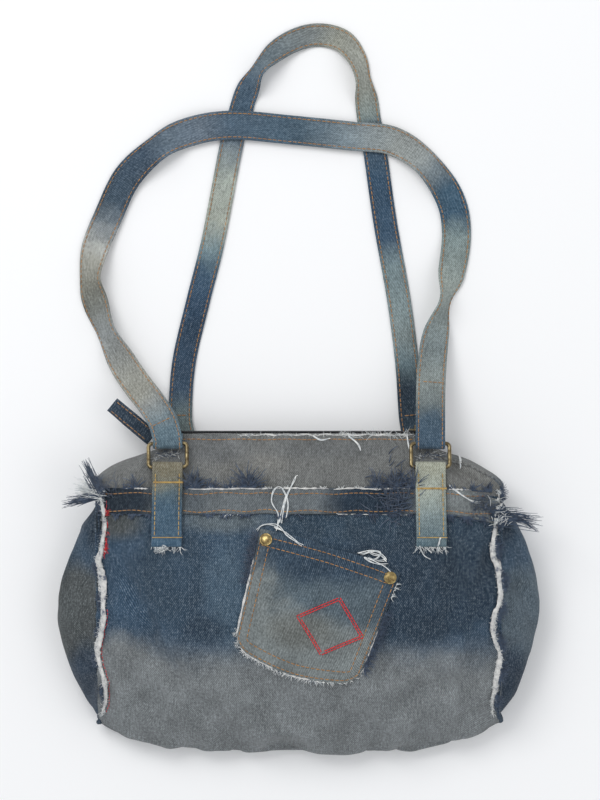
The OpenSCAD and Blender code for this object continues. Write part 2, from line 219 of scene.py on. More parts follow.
shell = bmesh.new()
cloth_layer = shell.loops.layers.uv.new("cloth")
part_layer = shell.faces.layers.int.new("part")
FRONT, BACK, LEFT, RIGHT, FRONT_YOKE, BACK_YOKE = range(6)


def add_grid(points, part_of, uv_of):
    """Adds a grid of points to the shell as quads, with a part number and a cloth place each."""
    made = [[shell.verts.new(p) for p in row] for row in points]
    for r in range(len(points) - 1):
        for c in range(len(points[0]) - 1):
            corners = [(r, c), (r + 1, c), (r + 1, c + 1), (r, c + 1)]
            face = shell.faces.new([made[i][j] for i, j in corners])
            face[part_layer] = part_of(r, c)
            for loop, (i, j) in zip(face.loops, corners):
                loop[cloth_layer].uv = uv_of(i, j)


skins = {}
for side in (1, -1):
    grid = [[body_point(side, c / columns, r / rows) for c in range(columns + 1)] for r in range(rows + 1)]
    along = [0]
    for r in range(rows):
        middle = columns // 2
        along.append(along[-1] + (grid[r + 1][middle] - grid[r][middle]).length)
    skins[side] = (grid, along)

for side in (1, -1):
    grid, along = skins[side]
    yoke_rows = [r for r in range(rows) if grid[r + 1][0].y > band_y - 0.001]
    last_yoke = len(yoke_rows)
    panel, yoke = (FRONT, FRONT_YOKE) if side > 0 else (BACK, BACK_YOKE)
    # The grid's x runs backwards on the back, so that its faces point out
    order = grid if side > 0 else [list(reversed(row)) for row in grid]
    add_grid(order, lambda r, c: yoke if r < last_yoke else panel,
             lambda r, c: (order[r][c].x, along[r]))

across = 12
for sign in (-1, 1):
    column = 0 if sign < 0 else columns
    ends = []
    for r in range(rows + 1):
        front, back = skins[1][0][r][column], skins[-1][0][r][column]
        down = max(0, min(1, (band_top_y - front.y) / (band_top_y - fold_line(half_width))))
        deep = max(0.0045 * min(1, r / 4), bulge * math.sin(math.pi * down))
        # The end panel bulges straight out of the seam's line, which slants at the top
        above = skins[1][0][max(0, r - 1)][column]
        below = skins[1][0][min(rows, r + 1)][column]
        run = Vector((below.x - above.x, below.y - above.y))
        out = Vector((-run.y, run.x)).normalized() * -sign if run.length else Vector((sign, 0))
        if out.x * sign < 0:
            out = -out
        line = []
        for c in range(across + 1):
            w = c / across
            point = front.lerp(back, w)
            point.x += out.x * deep * math.sin(math.pi * w)
            point.y += out.y * deep * math.sin(math.pi * w)
            line.append(point)
        ends.append(line if sign > 0 else list(reversed(line)))
    end_along = skins[1][1]
    add_grid(ends, lambda r, c: LEFT if sign < 0 else RIGHT, lambda r, c: (c * 0.008, end_along[r]))

bmesh.ops.remove_doubles(shell, verts=shell.verts, dist=0.0001)
body = piece_of("bag_body", shell)
body_mesh = body.data
start_shape = [v.co.copy() for v in body_mesh.vertices]

# The seams, the zip's edges and the back, which the floor holds, stay where they are
part_of_face = body_mesh.attributes["part"].data
parts_at = [set() for _ in body_mesh.vertices]
for polygon in body_mesh.polygons:
    for i in polygon.vertices:
        parts_at[i].add(part_of_face[polygon.index].value)
held = body.vertex_groups.new(name="held")
seam_points = set()
for i, parts in enumerate(parts_at):
    flat_back = parts <= {BACK, BACK_YOKE}
    if flat_back or start_shape[i].y > top_y - 0.001:
        held.add([i], 1.0, "REPLACE")
    elif len(parts) > 1:
        seam_points.add(i)
        held.add([i], 0.85 if parts & {LEFT, RIGHT} else 0.25, "REPLACE")

# A little unevenness to start with, so that the cloth buckles as real cloth does
facing = [v.normal.copy() for v in body_mesh.vertices]
for i, v in enumerate(body_mesh.vertices):
    if i not in seam_points and not parts_at[i] <= {BACK, BACK_YOKE} and v.co.y < top_y - 0.004:
        push = noise.noise(v.co * 34) * 0.0016 + noise.noise(v.co * 14 + Vector((3, 1, 7))) * 0.0022
        v.co += facing[i] * push

cloth = body.modifiers.new("cloth", "CLOTH")
cloth.settings.quality = 6
cloth.settings.mass = 0.25
cloth.settings.tension_stiffness = 25
cloth.settings.compression_stiffness = 25
cloth.settings.shear_stiffness = 8
cloth.settings.bending_stiffness = 1.1
cloth.settings.vertex_group_mass = "held"
cloth.settings.pin_stiffness = 1.0
cloth.settings.use_pressure = True
cloth.settings.uniform_pressure_force = 2.2
cloth.settings.shrink_min = -0.045
cloth.settings.shrink_max = -0.045
cloth.settings.effector_weights.gravity = 0
cloth.collision_settings.use_collision = False
for step in range(1, 21):
    bpy.context.scene.frame_set(step)
bpy.context.view_layer.objects.active = body
body.select_set(True)
bpy.ops.object.modifier_apply(modifier="cloth")
body.select_set(False)
bpy.context.scene.frame_set(1)

# Near the zip and the rings the bag hangs slack: it fills out further down
slack_limit, full_limit = 0.0012, 0.0095
slack_y, slack_run = -0.072, 0.05
for i, v in enumerate(body_mesh.vertices):
    move = v.co - start_shape[i]
    share = min(1, max(0, (slack_y - start_shape[i].y) / slack_run))
    limit = slack_limit + (full_limit - slack_limit) * share
    if move.length > limit:
        move = move.normalized() * limit
    v.co = start_shape[i] + move
    v.co.z = max(v.co.z, cad_low[2] + 0.0001)

def connect(tree, socket, value):
    """Links another node's output to a socket, or sets a plain value on it."""
    if isinstance(value, bpy.types.NodeSocket):
        tree.links.new(value, socket)
    else:
        socket.default_value = value

def add_node(tree, kind, **values):
    """Adds a shader node and fills its inputs; their names have _ for each space."""
    node = tree.nodes.new(kind)
    for name, value in values.items():
        connect(tree, node.inputs[name.replace("_", " ")], value)
    return node

def calc(tree, kind, *values):
    """Result of a Math node."""
    node = tree.nodes.new("ShaderNodeMath")
    node.operation = kind
    for socket, value in zip(node.inputs, values):
        connect(tree, socket, value)
    return node.outputs[0]

def remap(tree, value, from_low, from_high, to_low=0, to_high=1):
    """Carries a value from one range to another."""
    node = add_node(tree, "ShaderNodeMapRange", Value=value, From_Min=from_low, From_Max=from_high,
                    To_Min=to_low, To_Max=to_high)
    return node.outputs["Result"]

def blend_colours(tree, share, under, over):
    """Mixes one colour over another by a share."""
    node = tree.nodes.new("ShaderNodeMix")
    node.data_type = "RGBA"
    connect(tree, node.inputs["Factor"], share)
    connect(tree, node.inputs["A"], under)
    connect(tree, node.inputs["B"], over)
    return node.outputs["Result"]

def noise_of(tree, place, scale, detail=2, roughness=0.5):
    """Fine noise over a place."""
    node = add_node(tree, "ShaderNodeTexNoise", Vector=place, Scale=scale, Detail=detail,
                    Roughness=roughness)
    return node.outputs["Fac"]

def colour_ramp(tree, value, stops):
    """Colours along a value: stops are (place, colour), in order."""
    ramp = add_node(tree, "ShaderNodeValToRGB", Fac=value)
    elements = ramp.color_ramp.elements
    while len(elements) < len(stops):
        elements.new(1)
    for element, (place, tint) in zip(elements, stops):
        element.position = place
    for element, (place, tint) in zip(elements, stops):
        element.color = (*tint, 1)
    return ramp.outputs["Color"]

def raise_grain(tree, shader, height, **values):
    """Bumps a shader's surface by a height."""
    bump = add_node(tree, "ShaderNodeBump", Height=height, **values)
    tree.links.new(bump.outputs["Normal"], shader.inputs["Normal"])

def new_finish(name, **values):
    """Starts a material: gives it, its tree and its shader, with the shader's own values set."""
    finish = bpy.data.materials.new(name)
    finish.use_nodes = True
    shader = finish.node_tree.nodes["Principled BSDF"]
    for socket, value in values.items():
        shader.inputs[socket.replace("_", " ")].default_value = value
    return finish, finish.node_tree, shader

def denim_twill():
    """Node group of the weave: a place on the cloth and its dye give colour, height and gloss."""
    tree = bpy.data.node_groups.new("denim_twill", "ShaderNodeTree")
    face = tree.interface
    face.new_socket("Cloth", in_out="INPUT", socket_type="NodeSocketVector")
    face.new_socket("Dye", in_out="INPUT", socket_type="NodeSocketColor")
    face.new_socket("Wear", in_out="INPUT", socket_type="NodeSocketFloat").default_value = 0.3
    face.new_socket("Color", in_out="OUTPUT", socket_type="NodeSocketColor")
    face.new_socket("Height", in_out="OUTPUT", socket_type="NodeSocketFloat")
    face.new_socket("Roughness", in_out="OUTPUT", socket_type="NodeSocketFloat")
    enter, leave = tree.nodes.new("NodeGroupInput"), tree.nodes.new("NodeGroupOutput")
    cloth, dye, wear = enter.outputs["Cloth"], enter.outputs["Dye"], enter.outputs["Wear"]

    def yarns(across, along, detail):
        """Noise of yarns: across and along are how many there are to a metre."""
        place = add_node(tree, "ShaderNodeMapping", Vector=cloth, Scale=(across, along, across))
        return noise_of(tree, place.outputs["Vector"], 1, detail)

    rib_width = 0.00125
    turn = add_node(tree, "ShaderNodeMapping", Vector=cloth, Rotation=(0, 0, math.radians(33)))
    ribs = add_node(tree, "ShaderNodeTexWave", Vector=turn.outputs["Vector"], Scale=0.314 / rib_width,
                    Distortion=1.6, Detail=2, Detail_Scale=2.2).outputs["Fac"]
    warp, weft = yarns(1500, 90, 2), yarns(170, 1700, 1)
    fleck, mottle = yarns(620, 420, 3), yarns(46, 30, 4)
    mixed = calc(tree, "ADD", calc(tree, "MULTIPLY", ribs, 0.26), calc(tree, "MULTIPLY", warp, 0.5))
    mixed = calc(tree, "ADD", mixed, calc(tree, "MULTIPLY", fleck, 0.62))
    mixed = calc(tree, "ADD", mixed, calc(tree, "MULTIPLY", weft, 0.28))
    spread = remap(tree, mixed, 0.58, 1.08)
    shade = remap(tree, spread, 0, 1, 0.50, 1.5)
    level = calc(tree, "MULTIPLY", shade, remap(tree, mottle, 0.3, 0.7, 0.80, 1.18))
    tinted = tree.nodes.new("ShaderNodeVectorMath")
    tinted.operation = "SCALE"
    tree.links.new(dye, tinted.inputs[0])
    tree.links.new(level, tinted.inputs["Scale"])
    # The white weft shows in small flecks where the cloth is worn
    bare = calc(tree, "MULTIPLY", remap(tree, spread, 0.62, 1.0), wear)
    colour = blend_colours(tree, bare, tinted.outputs["Vector"], (0.42, 0.46, 0.47, 1))
    height = calc(tree, "ADD", calc(tree, "MULTIPLY", ribs, 0.5), calc(tree, "MULTIPLY", warp, 0.5))
    gloss = calc(tree, "SUBTRACT", 0.92, calc(tree, "MULTIPLY", spread, 0.12))
    for socket, value in (("Color", colour), ("Height", height), ("Roughness", gloss)):
        tree.links.new(value, leave.inputs[socket])
    return tree

twill = denim_twill()
indigo = (0.034, 0.066, 0.108)
worn_grey = (0.176, 0.190, 0.196)
khaki_grey = (0.150, 0.158, 0.142)
least_bleed, most_bleed, bleed_run = 0.14, 0.6, 0.009

def denim(name, dye, patches=(), wear=0.3, by_length=None):
    """Denim coloured in patches: dye, and on the front panel one patch of painted shade. A patch is (colour,
    centre x, centre y, half width, half height, edge wobble) in metres on the object. With by_length,
    (length, stops), the colour changes along the cloth instead: dye, and on the front handle also painted
    shade where it twists."""
    finish, tree, shader = new_finish(name, Sheen_Weight=0.07, Sheen_Roughness=0.5, Specular_IOR_Level=0.22)
    cloth_place = tree.nodes.new("ShaderNodeUVMap")
    cloth_place.uv_map = "cloth"
    place = tree.nodes.new("ShaderNodeTexCoord").outputs["Object"]
    wobble = noise_of(tree, place, 42, 5, 0.62)
    colour = (*dye, 1)
    if by_length:
        total, stops = by_length
        part = add_node(tree, "ShaderNodeSeparateXYZ", Vector=cloth_place.outputs["UV"])
        shift = calc(tree, "MULTIPLY_ADD", wobble, 0.028, part.outputs["Y"])
        colour = colour_ramp(tree, calc(tree, "MULTIPLY_ADD", shift, 1 / total, -0.014 / total), stops)
    for tint, x, y, half_x, half_y, soft in patches:
        seat = add_node(tree, "ShaderNodeMapping", Vector=place, Location=(-x / half_x, -y / half_y, 0),
                        Scale=(1 / half_x, 1 / half_y, 0))
        far = tree.nodes.new("ShaderNodeVectorMath")
        far.operation = "LENGTH"
        tree.links.new(seat.outputs["Vector"], far.inputs[0])
        ragged = calc(tree, "MULTIPLY_ADD", wobble, soft, far.outputs["Value"])
        # Dye bleeds about 9 mm each way, however small the patch is
        bleed = max(least_bleed, min(most_bleed, bleed_run / min(half_x, half_y)))
        inside = add_node(tree, "ShaderNodeMapRange", Value=ragged, From_Min=1 - bleed + soft * 0.5,
                          From_Max=1 + bleed + soft * 0.5, To_Min=1, To_Max=0)
        inside.interpolation_type = "SMOOTHSTEP"
        colour = blend_colours(tree, inside.outputs["Result"], colour, (*tint, 1))
    weave = tree.nodes.new("ShaderNodeGroup")
    weave.node_tree = twill
    connect(tree, weave.inputs["Wear"], wear)
    connect(tree, weave.inputs["Dye"], colour)
    connect(tree, weave.inputs["Cloth"], cloth_place.outputs["UV"])
    tree.links.new(weave.outputs["Color"], shader.inputs["Base Color"])
    tree.links.new(weave.outputs["Roughness"], shader.inputs["Roughness"])
    raise_grain(tree, shader, weave.outputs["Height"], Strength=0.55, Distance=0.0005)
    return finish

def settle(piece, finish, body_name, slot_name, *nodes):
    """Gives a finished piece its material and its body, and hides the CAD nodes it stands for; slot_name is
    not used.
    """
    piece.data.materials.clear()
    piece.data.materials.append(finish)
    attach(piece, body_name)
    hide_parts(*nodes)


# Soft folds pressed into the body: (start, end, half width, depth), in metres
folds = [((-0.152, -0.112), (-0.120, -0.196), 0.012, 0.0062),
         ((-0.075, -0.120), (-0.098, -0.190), 0.015, 0.0030),
         ((0.112, -0.054), (0.148, -0.082), 0.0050, 0.0062),
         ((0.152, -0.056), (0.128, -0.046), 0.0042, 0.0040),
         ((-0.152, -0.225), (-0.110, -0.268), 0.013, 0.0052),
         ((0.070, -0.268), (0.155, -0.232), 0.013, 0.0036),
         ((-0.020, -0.255), (0.060, -0.280), 0.012, 0.0030),
         ((0.158, -0.118), (0.140, -0.190), 0.010, 0.0050),
         ((-0.186, -0.178), (-0.166, -0.215), 0.004, 0.0036),
         ((0.168, -0.150), (0.190, -0.178), 0.005, 0.0032),
         ((-0.180, -0.120), (-0.190, -0.165), 0.005, 0.0024),
         ((0.020, -0.060), (0.028, -0.076), 0.006, 0.0014),
         ((-0.060, -0.228), (0.000, -0.240), 0.016, 0.0024),
         ((-0.150, -0.175), (-0.118, -0.235), 0.011, 0.0030)]


def fold_depth(point):
    """How deep the folds press the cloth in at a point."""
    total = 0
    for start, end, half, depth in folds:
        a, b = Vector(start), Vector(end)
        here = Vector((point.x, point.y))
        t = max(0, min(1, (here - a).dot(b - a) / (b - a).length_squared))
        gap = (here - a.lerp(b, t)).length / half
        total += depth * math.exp(-gap * gap) * math.sin(math.pi * min(1, max(0.12, t * 0.8 + 0.1)))
    return total


def subdivide(piece, levels):
    """Smooths a piece by subdivision."""
    bpy.context.view_layer.objects.active = piece
    smooth = piece.modifiers.new("smooth", "SUBSURF")
    smooth.levels = smooth.render_levels = levels
    bpy.ops.object.modifier_apply(modifier="smooth")

def thicken(piece, thickness):
    """Gives a sheet its thickness, inwards."""
    thick = piece.modifiers.new("thick", "SOLIDIFY")
    thick.thickness = thickness
    thick.offset = -1
    bpy.ops.object.modifier_apply(modifier="thick")
    piece.data.shade_smooth()

def cut_out(name, part):
    """Cuts one panel out of the body along its seams, smooths it and gives it the cloth's thickness."""
    mesh = body_mesh.copy()
    mesh.name = name
    shape = bmesh.new()
    shape.from_mesh(mesh)
    layer = shape.faces.layers.int["part"]
    bmesh.ops.delete(shape, geom=[f for f in shape.faces if f[layer] != part], context="FACES")
    shape.to_mesh(mesh)
    shape.free()
    piece = bpy.data.objects.new(name, mesh)
    bpy.context.scene.collection.objects.link(piece)
    subdivide(piece, 1 if part in (BACK, BACK_YOKE) else 2)
    if part not in (BACK, BACK_YOKE):
        out = [v.normal.copy() for v in piece.data.vertices]
        for v, normal in zip(piece.data.vertices, out):
            small = noise.noise(v.co * 90) * 0.00035 + noise.noise(v.co * 42 + Vector((9, 2, 4))) * 0.0007
            moved = v.co + normal * (small - fold_depth(v.co))
            moved.z = max(moved.z, cad_low[2] + 0.0002)
            v.co = moved
    if part in (LEFT, RIGHT):
        # The end panel's tip dips a little, so that the zip's slider runs clear of it
        slider_low, slider_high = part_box("zip_slider")
        slider_gap = 0.0005
        for v in piece.data.vertices:
            aside = abs(v.co.z - (slider_low.z + slider_high.z) / 2) - (slider_high.z - slider_low.z) / 2
            v.co.y = min(v.co.y, slider_low.y - slider_gap + max(0, aside))
    thicken(piece, denim_t * 0.85)
    return piece


fade_y = -0.2165
front_panel = cut_out("front_panel_cloth", FRONT)
front_finish = denim("denim_front", indigo, [
    (worn_grey, 0, fade_y - 0.2, 0.9, 0.2, 0.10), (worn_grey, 0.04, fade_y - 0.118, 0.32, 0.115, 0.3),
    (worn_grey, -0.150, -0.262, 0.06, 0.060, 0.4),
    ((0.020, 0.038, 0.062), 0.098, -0.156, 0.074, 0.050, 0.5),
    ((0.025, 0.046, 0.072), 0.125, -0.108, 0.050, 0.026, 0.6),
    ((0.030, 0.055, 0.086), -0.100, -0.150, 0.030, 0.040, 0.7),
    ((0.028, 0.052, 0.080), 0.035, -0.112, 0.060, 0.014, 0.5),
    ((0.055, 0.094, 0.136), -0.058, -0.165, 0.018, 0.040, 0.8),
    ((0.098, 0.124, 0.142), -0.062, -0.108, 0.036, 0.009, 0.6),
    # Khaki-grey cloth darkened with painted shade of the fold between the left tab and the left seam
    ((0.060, 0.068, 0.070), -0.146, -0.110, 0.020, 0.012, 0.6),
    ((0.024, 0.044, 0.070), -0.078, -0.196, 0.020, 0.012, 0.7)])
settle(front_panel, front_finish, "bag", "denim_front", "front_panel")
back_panel = cut_out("back_panel_cloth", BACK)
back_finish = denim("denim_back", indigo, [(worn_grey, 0, fade_y - 0.2, 0.9, 0.2, 0.10),
                                           (khaki_grey, 0.05, -0.14, 0.05, 0.03, 0.6)])
settle(back_panel, back_finish, "bag", "denim_back", "back_panel")

for sign, side_name, part in ((-1, "left", LEFT), (1, "right", RIGHT)):
    end_panel = cut_out(f"{side_name}_gusset_cloth", part)
    x = sign * (half_width + 0.018)
    middle = (0.062, 0.070, 0.072) if sign < 0 else (0.080, 0.108, 0.132)
    end_finish = denim(f"denim_{side_name}_gusset", (0.036, 0.066, 0.104), [
        (middle, x, -0.188, 0.030, 0.042, 0.6),
        ((0.022, 0.038, 0.062), x - sign * 0.012, -0.240, 0.020, 0.030, 0.6),
        ((0.020, 0.036, 0.058), x - sign * 0.016, -0.105, 0.010, 0.030, 0.5),
        ((0.150, 0.154, 0.150), sign * 0.130, -0.050, 0.054, 0.032, 0.3)])
    settle(end_panel, end_finish, "bag", "denim_gusset", f"{side_name}_gusset")

for name, part, cad_node in (("front_yoke_cloth", FRONT_YOKE, "front_yoke"),
                             ("back_yoke_cloth", BACK_YOKE, "back_yoke")):
    yoke_piece = cut_out(name, part)
    yoke_finish = denim(f"denim_{cad_node}", (0.150, 0.154, 0.150), [
        ((0.176, 0.176, 0.166), -0.040, -0.062, 0.030, 0.012, 0.9),
        ((0.132, 0.138, 0.138), 0.020, -0.050, 0.050, 0.008, 0.8),
        ((0.172, 0.174, 0.166), 0.140, -0.062, 0.030, 0.030, 0.6),
        ((0.134, 0.140, 0.142), -0.070, -0.050, 0.030, 0.012, 0.8)],
        wear=0.12)
    settle(yoke_piece, yoke_finish, "bag", "denim_yoke", cad_node)
bpy.data.objects.remove(body)

# ---------------------------------------------------------------- thread, stitches and frays
# Denim seams are sewn with thick orange thread, and every raw edge is left to fray into white weft
# and navy warp ends. Both are fine thread, modelled as thin tubes with only a few sides.
rng = random.Random(41)


def thread_finish(name, colour, second, gloss=0.62):
    """Spun thread: a twist pattern and a slow change of colour along it."""
    finish, tree, shader = new_finish(name, Sheen_Weight=0.25, Roughness=gloss)
    place = tree.nodes.new("ShaderNodeTexCoord").outputs["Object"]
    tint = colour_ramp(tree, noise_of(tree, place, 320, 3), [(0.36, second), (0.62, colour)])
    tree.links.new(tint, shader.inputs["Base Color"])
    raise_grain(tree, shader, noise_of(tree, place, 2600), Strength=0.5, Distance=0.0002)
    return finish

orange_thread = thread_finish("thread_orange", (0.46, 0.23, 0.075), (0.26, 0.13, 0.05))
gold_thread = thread_finish("thread_gold", (0.55, 0.36, 0.10), (0.36, 0.22, 0.07))
red_thread = thread_finish("thread_red", (0.72, 0.016, 0.022), (0.50, 0.010, 0.016))
white_fray = thread_finish("fray_white", (0.86, 0.87, 0.85), (0.56, 0.60, 0.62), 0.85)
navy_fray = thread_finish("fray_navy", (0.062, 0.096, 0.155), (0.024, 0.042, 0.078), 0.85)


class Threads:
    """Collects thin tubes for one piece, so that all its stitches or frays are one mesh."""

    def __init__(self):
        self.points, self.faces = [], []

    def strand(self, path, radius, sides=4, taper=0.45):
        start = len(self.points)
        last = len(path) - 1
        for i, p in enumerate(path):
            run = (path[min(last, i + 1)] - path[max(0, i - 1)]).normalized()
            side = run.cross(Vector((0.13, 0.21, 0.97)))
            side = side.normalized() if side.length > 0.05 else run.cross(Vector((1, 0, 0))).normalized()
            up = side.cross(run)
            r = radius * (1 - (1 - taper) * (i / last) ** 2)
            for k in range(sides):
                a = 2 * math.pi * k / sides
                self.points.append(p + (side * math.cos(a) + up * math.sin(a)) * r)
        for i in range(last):
            for k in range(sides):
                a, b = start + i * sides + k, start + i * sides + (k + 1) % sides
                self.faces.append((a, b, b + sides, a + sides))
        self.faces.append(tuple(start + k for k in reversed(range(sides))))
        self.faces.append(tuple(start + last * sides + k for k in range(sides)))

    def stitch(self, a, b, up, radius=0.00038):
        """One stitch: a short humped capsule whose ends dip into the cloth."""
        lift = up * radius * 0.9
        dip = up * -radius * 0.7
        self.strand([a + dip, a.lerp(b, 0.2) + lift, a.lerp(b, 0.8) + lift, b + dip], radius, 5, 1)

    def finish(self, name, material, body_name, slot_name):
        mesh = bpy.data.meshes.new(name)
        mesh.from_pydata([tuple(p) for p in self.points], [], self.faces)
        mesh.validate()
        made = bmesh.new()
        made.from_mesh(mesh)
        bmesh.ops.recalc_face_normals(made, faces=made.faces)
        made.to_mesh(mesh)
        made.free()
        piece = bpy.data.objects.new(name, mesh)
        bpy.context.scene.collection.objects.link(piece)
        mesh.materials.append(material)
        mesh.shade_smooth()
        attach(piece, body_name)


def sew(threads, line, stitch=0.0030, gap=0.0011, radius=0.00038):
    """Stitches along a line of (point, normal) pairs, with the given stitch length and gap."""
    spans = [0]
    for (p, n), (q, m) in zip(line, line[1:]):
        spans.append(spans[-1] + (q - p).length)

    def at(s):
        for i in range(len(line) - 1):
            if s <= spans[i + 1] or i == len(line) - 2:
                t = (s - spans[i]) / max(1e-9, spans[i + 1] - spans[i])
                return line[i][0].lerp(line[i + 1][0], t), line[i][1].lerp(line[i + 1][1], t).normalized()
    s = 0.0004
    while s + stitch < spans[-1]:
        (a, up), (b, _) = at(s), at(s + stitch)
        threads.stitch(a, b, up, radius)
        s += stitch + gap * rng.uniform(0.85, 1.2)


def fray(threads, root, way, length, curl=0.5, radius=0.00022, up=Vector((0, 0, 1)), floor_z=0.0006):
    """One loose yarn end that leaves its root along way and curls as it goes."""
    way = way.normalized()
    side = way.cross(up)
    side = side.normalized() if side.length > 0.01 else Vector((1, 0, 0))
    bend_side, bend_up = rng.gauss(0, curl), rng.gauss(-0.1, curl * 0.5)
    path, here = [root], root.copy()
    steps = 6
    for i in range(steps):
        t = (i + 1) / steps
        move = way + side * bend_side * t + up * bend_up * t
        move += Vector((rng.uniform(-1, 1), rng.uniform(-1, 1), rng.uniform(-0.6, 0.6))) * 0.16 * curl
        here = here + move.normalized() * length / steps
        here.z = max(here.z, floor_z)
        path.append(here)
    threads.strand(path, radius, 3)


# ---------------------------------------------------------------- laid pieces
# Bands, tabs, pocket and raw edges lie on the body. The finished skins are kept in a tree, and
# each laid piece is dropped onto it from the front or from the back.
skin_points, skin_faces = [], []
for piece in (front_panel, back_panel, *[bpy.data.objects[n] for n in (
        "left_gusset_cloth", "right_gusset_cloth", "front_yoke_cloth", "back_yoke_cloth")]):
    first = len(skin_points)
    skin_points += [v.co.copy() for v in piece.data.vertices]
    skin_faces += [[first + i for i in p.vertices] for p in piece.data.polygons]
skin = BVHTree.FromPolygons(skin_points, skin_faces)


def on_cloth(x, y, side=1, tree=None):
    """Point and outward normal of the skin (or another tree) over a place of the plan."""
    start, way = (0.2, -1) if side > 0 else (-0.1, 1)
    hit, normal = (tree or skin).ray_cast(Vector((x, y, start)), Vector((0, 0, way)))[:2]
    if hit is None:
        return None, None
    if normal.z * side < 0:
        normal = -normal
    return hit, normal


def lay(name, plan, cols, rows, thick, clear, side=1, rise=None):
    """A closed sheet laid on the skin: plan(u, v) gives its place, rise(u, v) lifts it further."""
    total = [[None] * (cols + 1) for _ in range(rows + 1)]
    for r in range(rows + 1):
        for c in range(cols + 1):
            u, v = c / cols, r / rows
            x, y = plan(u, v)
            hit, normal = on_cloth(x, y, side)
            if hit is None:
                near = skin.find_nearest(Vector((x, y, 0.04 * side)))
                hit, normal = near[0], near[1] if near[1].z * side > 0 else -near[1]
            total[r][c] = (Vector((x, y, hit.z)), normal)
    # Cloth bridges small hollows, so the normals and heights are evened out a little
    for _ in range(2):
        fresh = [[None] * (cols + 1) for _ in range(rows + 1)]
        for r in range(rows + 1):
            for c in range(cols + 1):
                ring = [total[i][j] for i in (max(0, r - 1), r, min(rows, r + 1))
                        for j in (max(0, c - 1), c, min(cols, c + 1))]
                normal = sum((n for p, n in ring), Vector()).normalized()
                z = sum(p.z for p, n in ring) / len(ring)
                p = total[r][c][0]
                level = max(p.z, z) if side > 0 else min(p.z, z)
                fresh[r][c] = (Vector((p.x, p.y, level)), normal)
        total = fresh
    made = bmesh.new()
    cloth = made.loops.layers.uv.new("cloth")
    grid = []
    for r in range(rows + 1):
        line = []
        for c in range(cols + 1):
            p, n = total[r][c]
            extra = rise(c / cols, r / rows) if rise else 0
            line.append(made.verts.new(p + n * (clear + thick + extra)))
        grid.append(line)
    u_run = [0]
    for c in range(cols):
        u_run.append(u_run[-1] + (grid[rows // 2][c + 1].co - grid[rows // 2][c].co).length)
    v_run = [0]
    for r in range(rows):
        v_run.append(v_run[-1] + (grid[r + 1][cols // 2].co - grid[r][cols // 2].co).length)
    for r in range(rows):
        for c in range(cols):
            corners = [(r, c), (r + 1, c), (r + 1, c + 1), (r, c + 1)]
            if side < 0:
                corners.reverse()
            face = made.faces.new([grid[i][j] for i, j in corners])
            for loop, (i, j) in zip(face.loops, corners):
                loop[cloth].uv = (u_run[j], v_run[i])
    piece = piece_of(name, made)
    subdivide(piece, 1)
    thicken(piece, thick)
    return piece

# ---------------------------------------------------------------- band across the bag
# A raw-edged strip of pieced denim sewn over the seam between yoke and panel, front and back.
# Both its edges are left to fray, and a line of orange thread runs along each of them.
band_low, band_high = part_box("front_band")
band_t = 0.0014
band_half = band_high.x - 0.0005
band_finish = denim("denim_front_band", (0.122, 0.138, 0.147), [
    ((0.013, 0.022, 0.034), -0.150, band_y, 0.036, 0.02, 0.25),
    ((0.017, 0.032, 0.052), 0.058, band_y, 0.034, 0.02, 0.25),
    ((0.165, 0.182, 0.184), 0.145, band_y, 0.034, 0.03, 0.25),
    ((0.085, 0.10, 0.112), -0.088, band_y, 0.012, 0.02, 0.5)],
    wear=0.12)
back_band_finish = denim("denim_back_band", (0.105, 0.124, 0.138), [
    ((0.026, 0.042, 0.064), 0.10, band_y, 0.06, 0.02, 0.3)])
bands = {}
for side, side_name, finish in ((1, "front", band_finish), (-1, "back", back_band_finish)):
    drop = 0.010 if side > 0 else 0.004

    def band_plan(u, v):
        """The band sags a little between its sewn ends and drops towards the right seam."""
        x = -band_half + 2 * band_half * u
        wave = noise.noise(Vector((x * 55, v * 3, side))) * 0.0009
        fall = drop * max(0, (x - 0.110) / 0.055) ** 1.6
        return x, band_top_y - 0.0210 * v - fall + wave
    band = lay(f"{side_name}_band_cloth", band_plan, 96, 5, band_t, 0.0004, side,
               lambda u, v: 0.0006 * math.sin(math.pi * v) ** 2 * (1 + math.sin(u * 60)) / 2)
    settle(band, finish, "bag", "denim_band", f"{side_name}_band")
    bands[side] = (band, band_plan)


def tree_of(piece):
    """Tree of one finished piece, to cast rays at."""
    mesh = piece.data
    return BVHTree.FromPolygons([v.co.copy() for v in mesh.vertices],
                                [list(p.vertices) for p in mesh.polygons])


band_tree = tree_of(bands[1][0])


def on_top(x, y, *trees):
    """Point and normal of whatever lies highest over a place of the front."""
    best, up = on_cloth(x, y)
    for tree in trees:
        hit, normal = on_cloth(x, y, 1, tree)
        if hit is not None and (best is None or hit.z > best.z):
            best, up = hit, normal
    return best, up


for side, side_name in ((1, "front"), (-1, "back")):
    sewn, plan = Threads(), bands[side][1]
    tree = tree_of(bands[side][0])
    for v in (0.2, 0.86):
        line = []
        for i in range(161):
            x, y = plan(i / 160, v + 0.03 * math.sin(i * 0.35))
            hit, up = on_cloth(x, y, side, tree)
            if hit is not None:
                line.append((hit, up))
        sew(sewn, line)
    sewn.finish(f"{side_name}_band_stitching", orange_thread, "bag", "raw_edge")

# ---------------------------------------------------------------- tabs
# Four denim strips: each is folded round a ring's lower bar, laid over the band and sewn down,
# with a bar tack under the ring, stitches along both edges and a frayed lower end.
loop_t = 0.0016
loop_r = 0.00155 + 0.0013 + loop_t / 2
wire_r = 0.00155


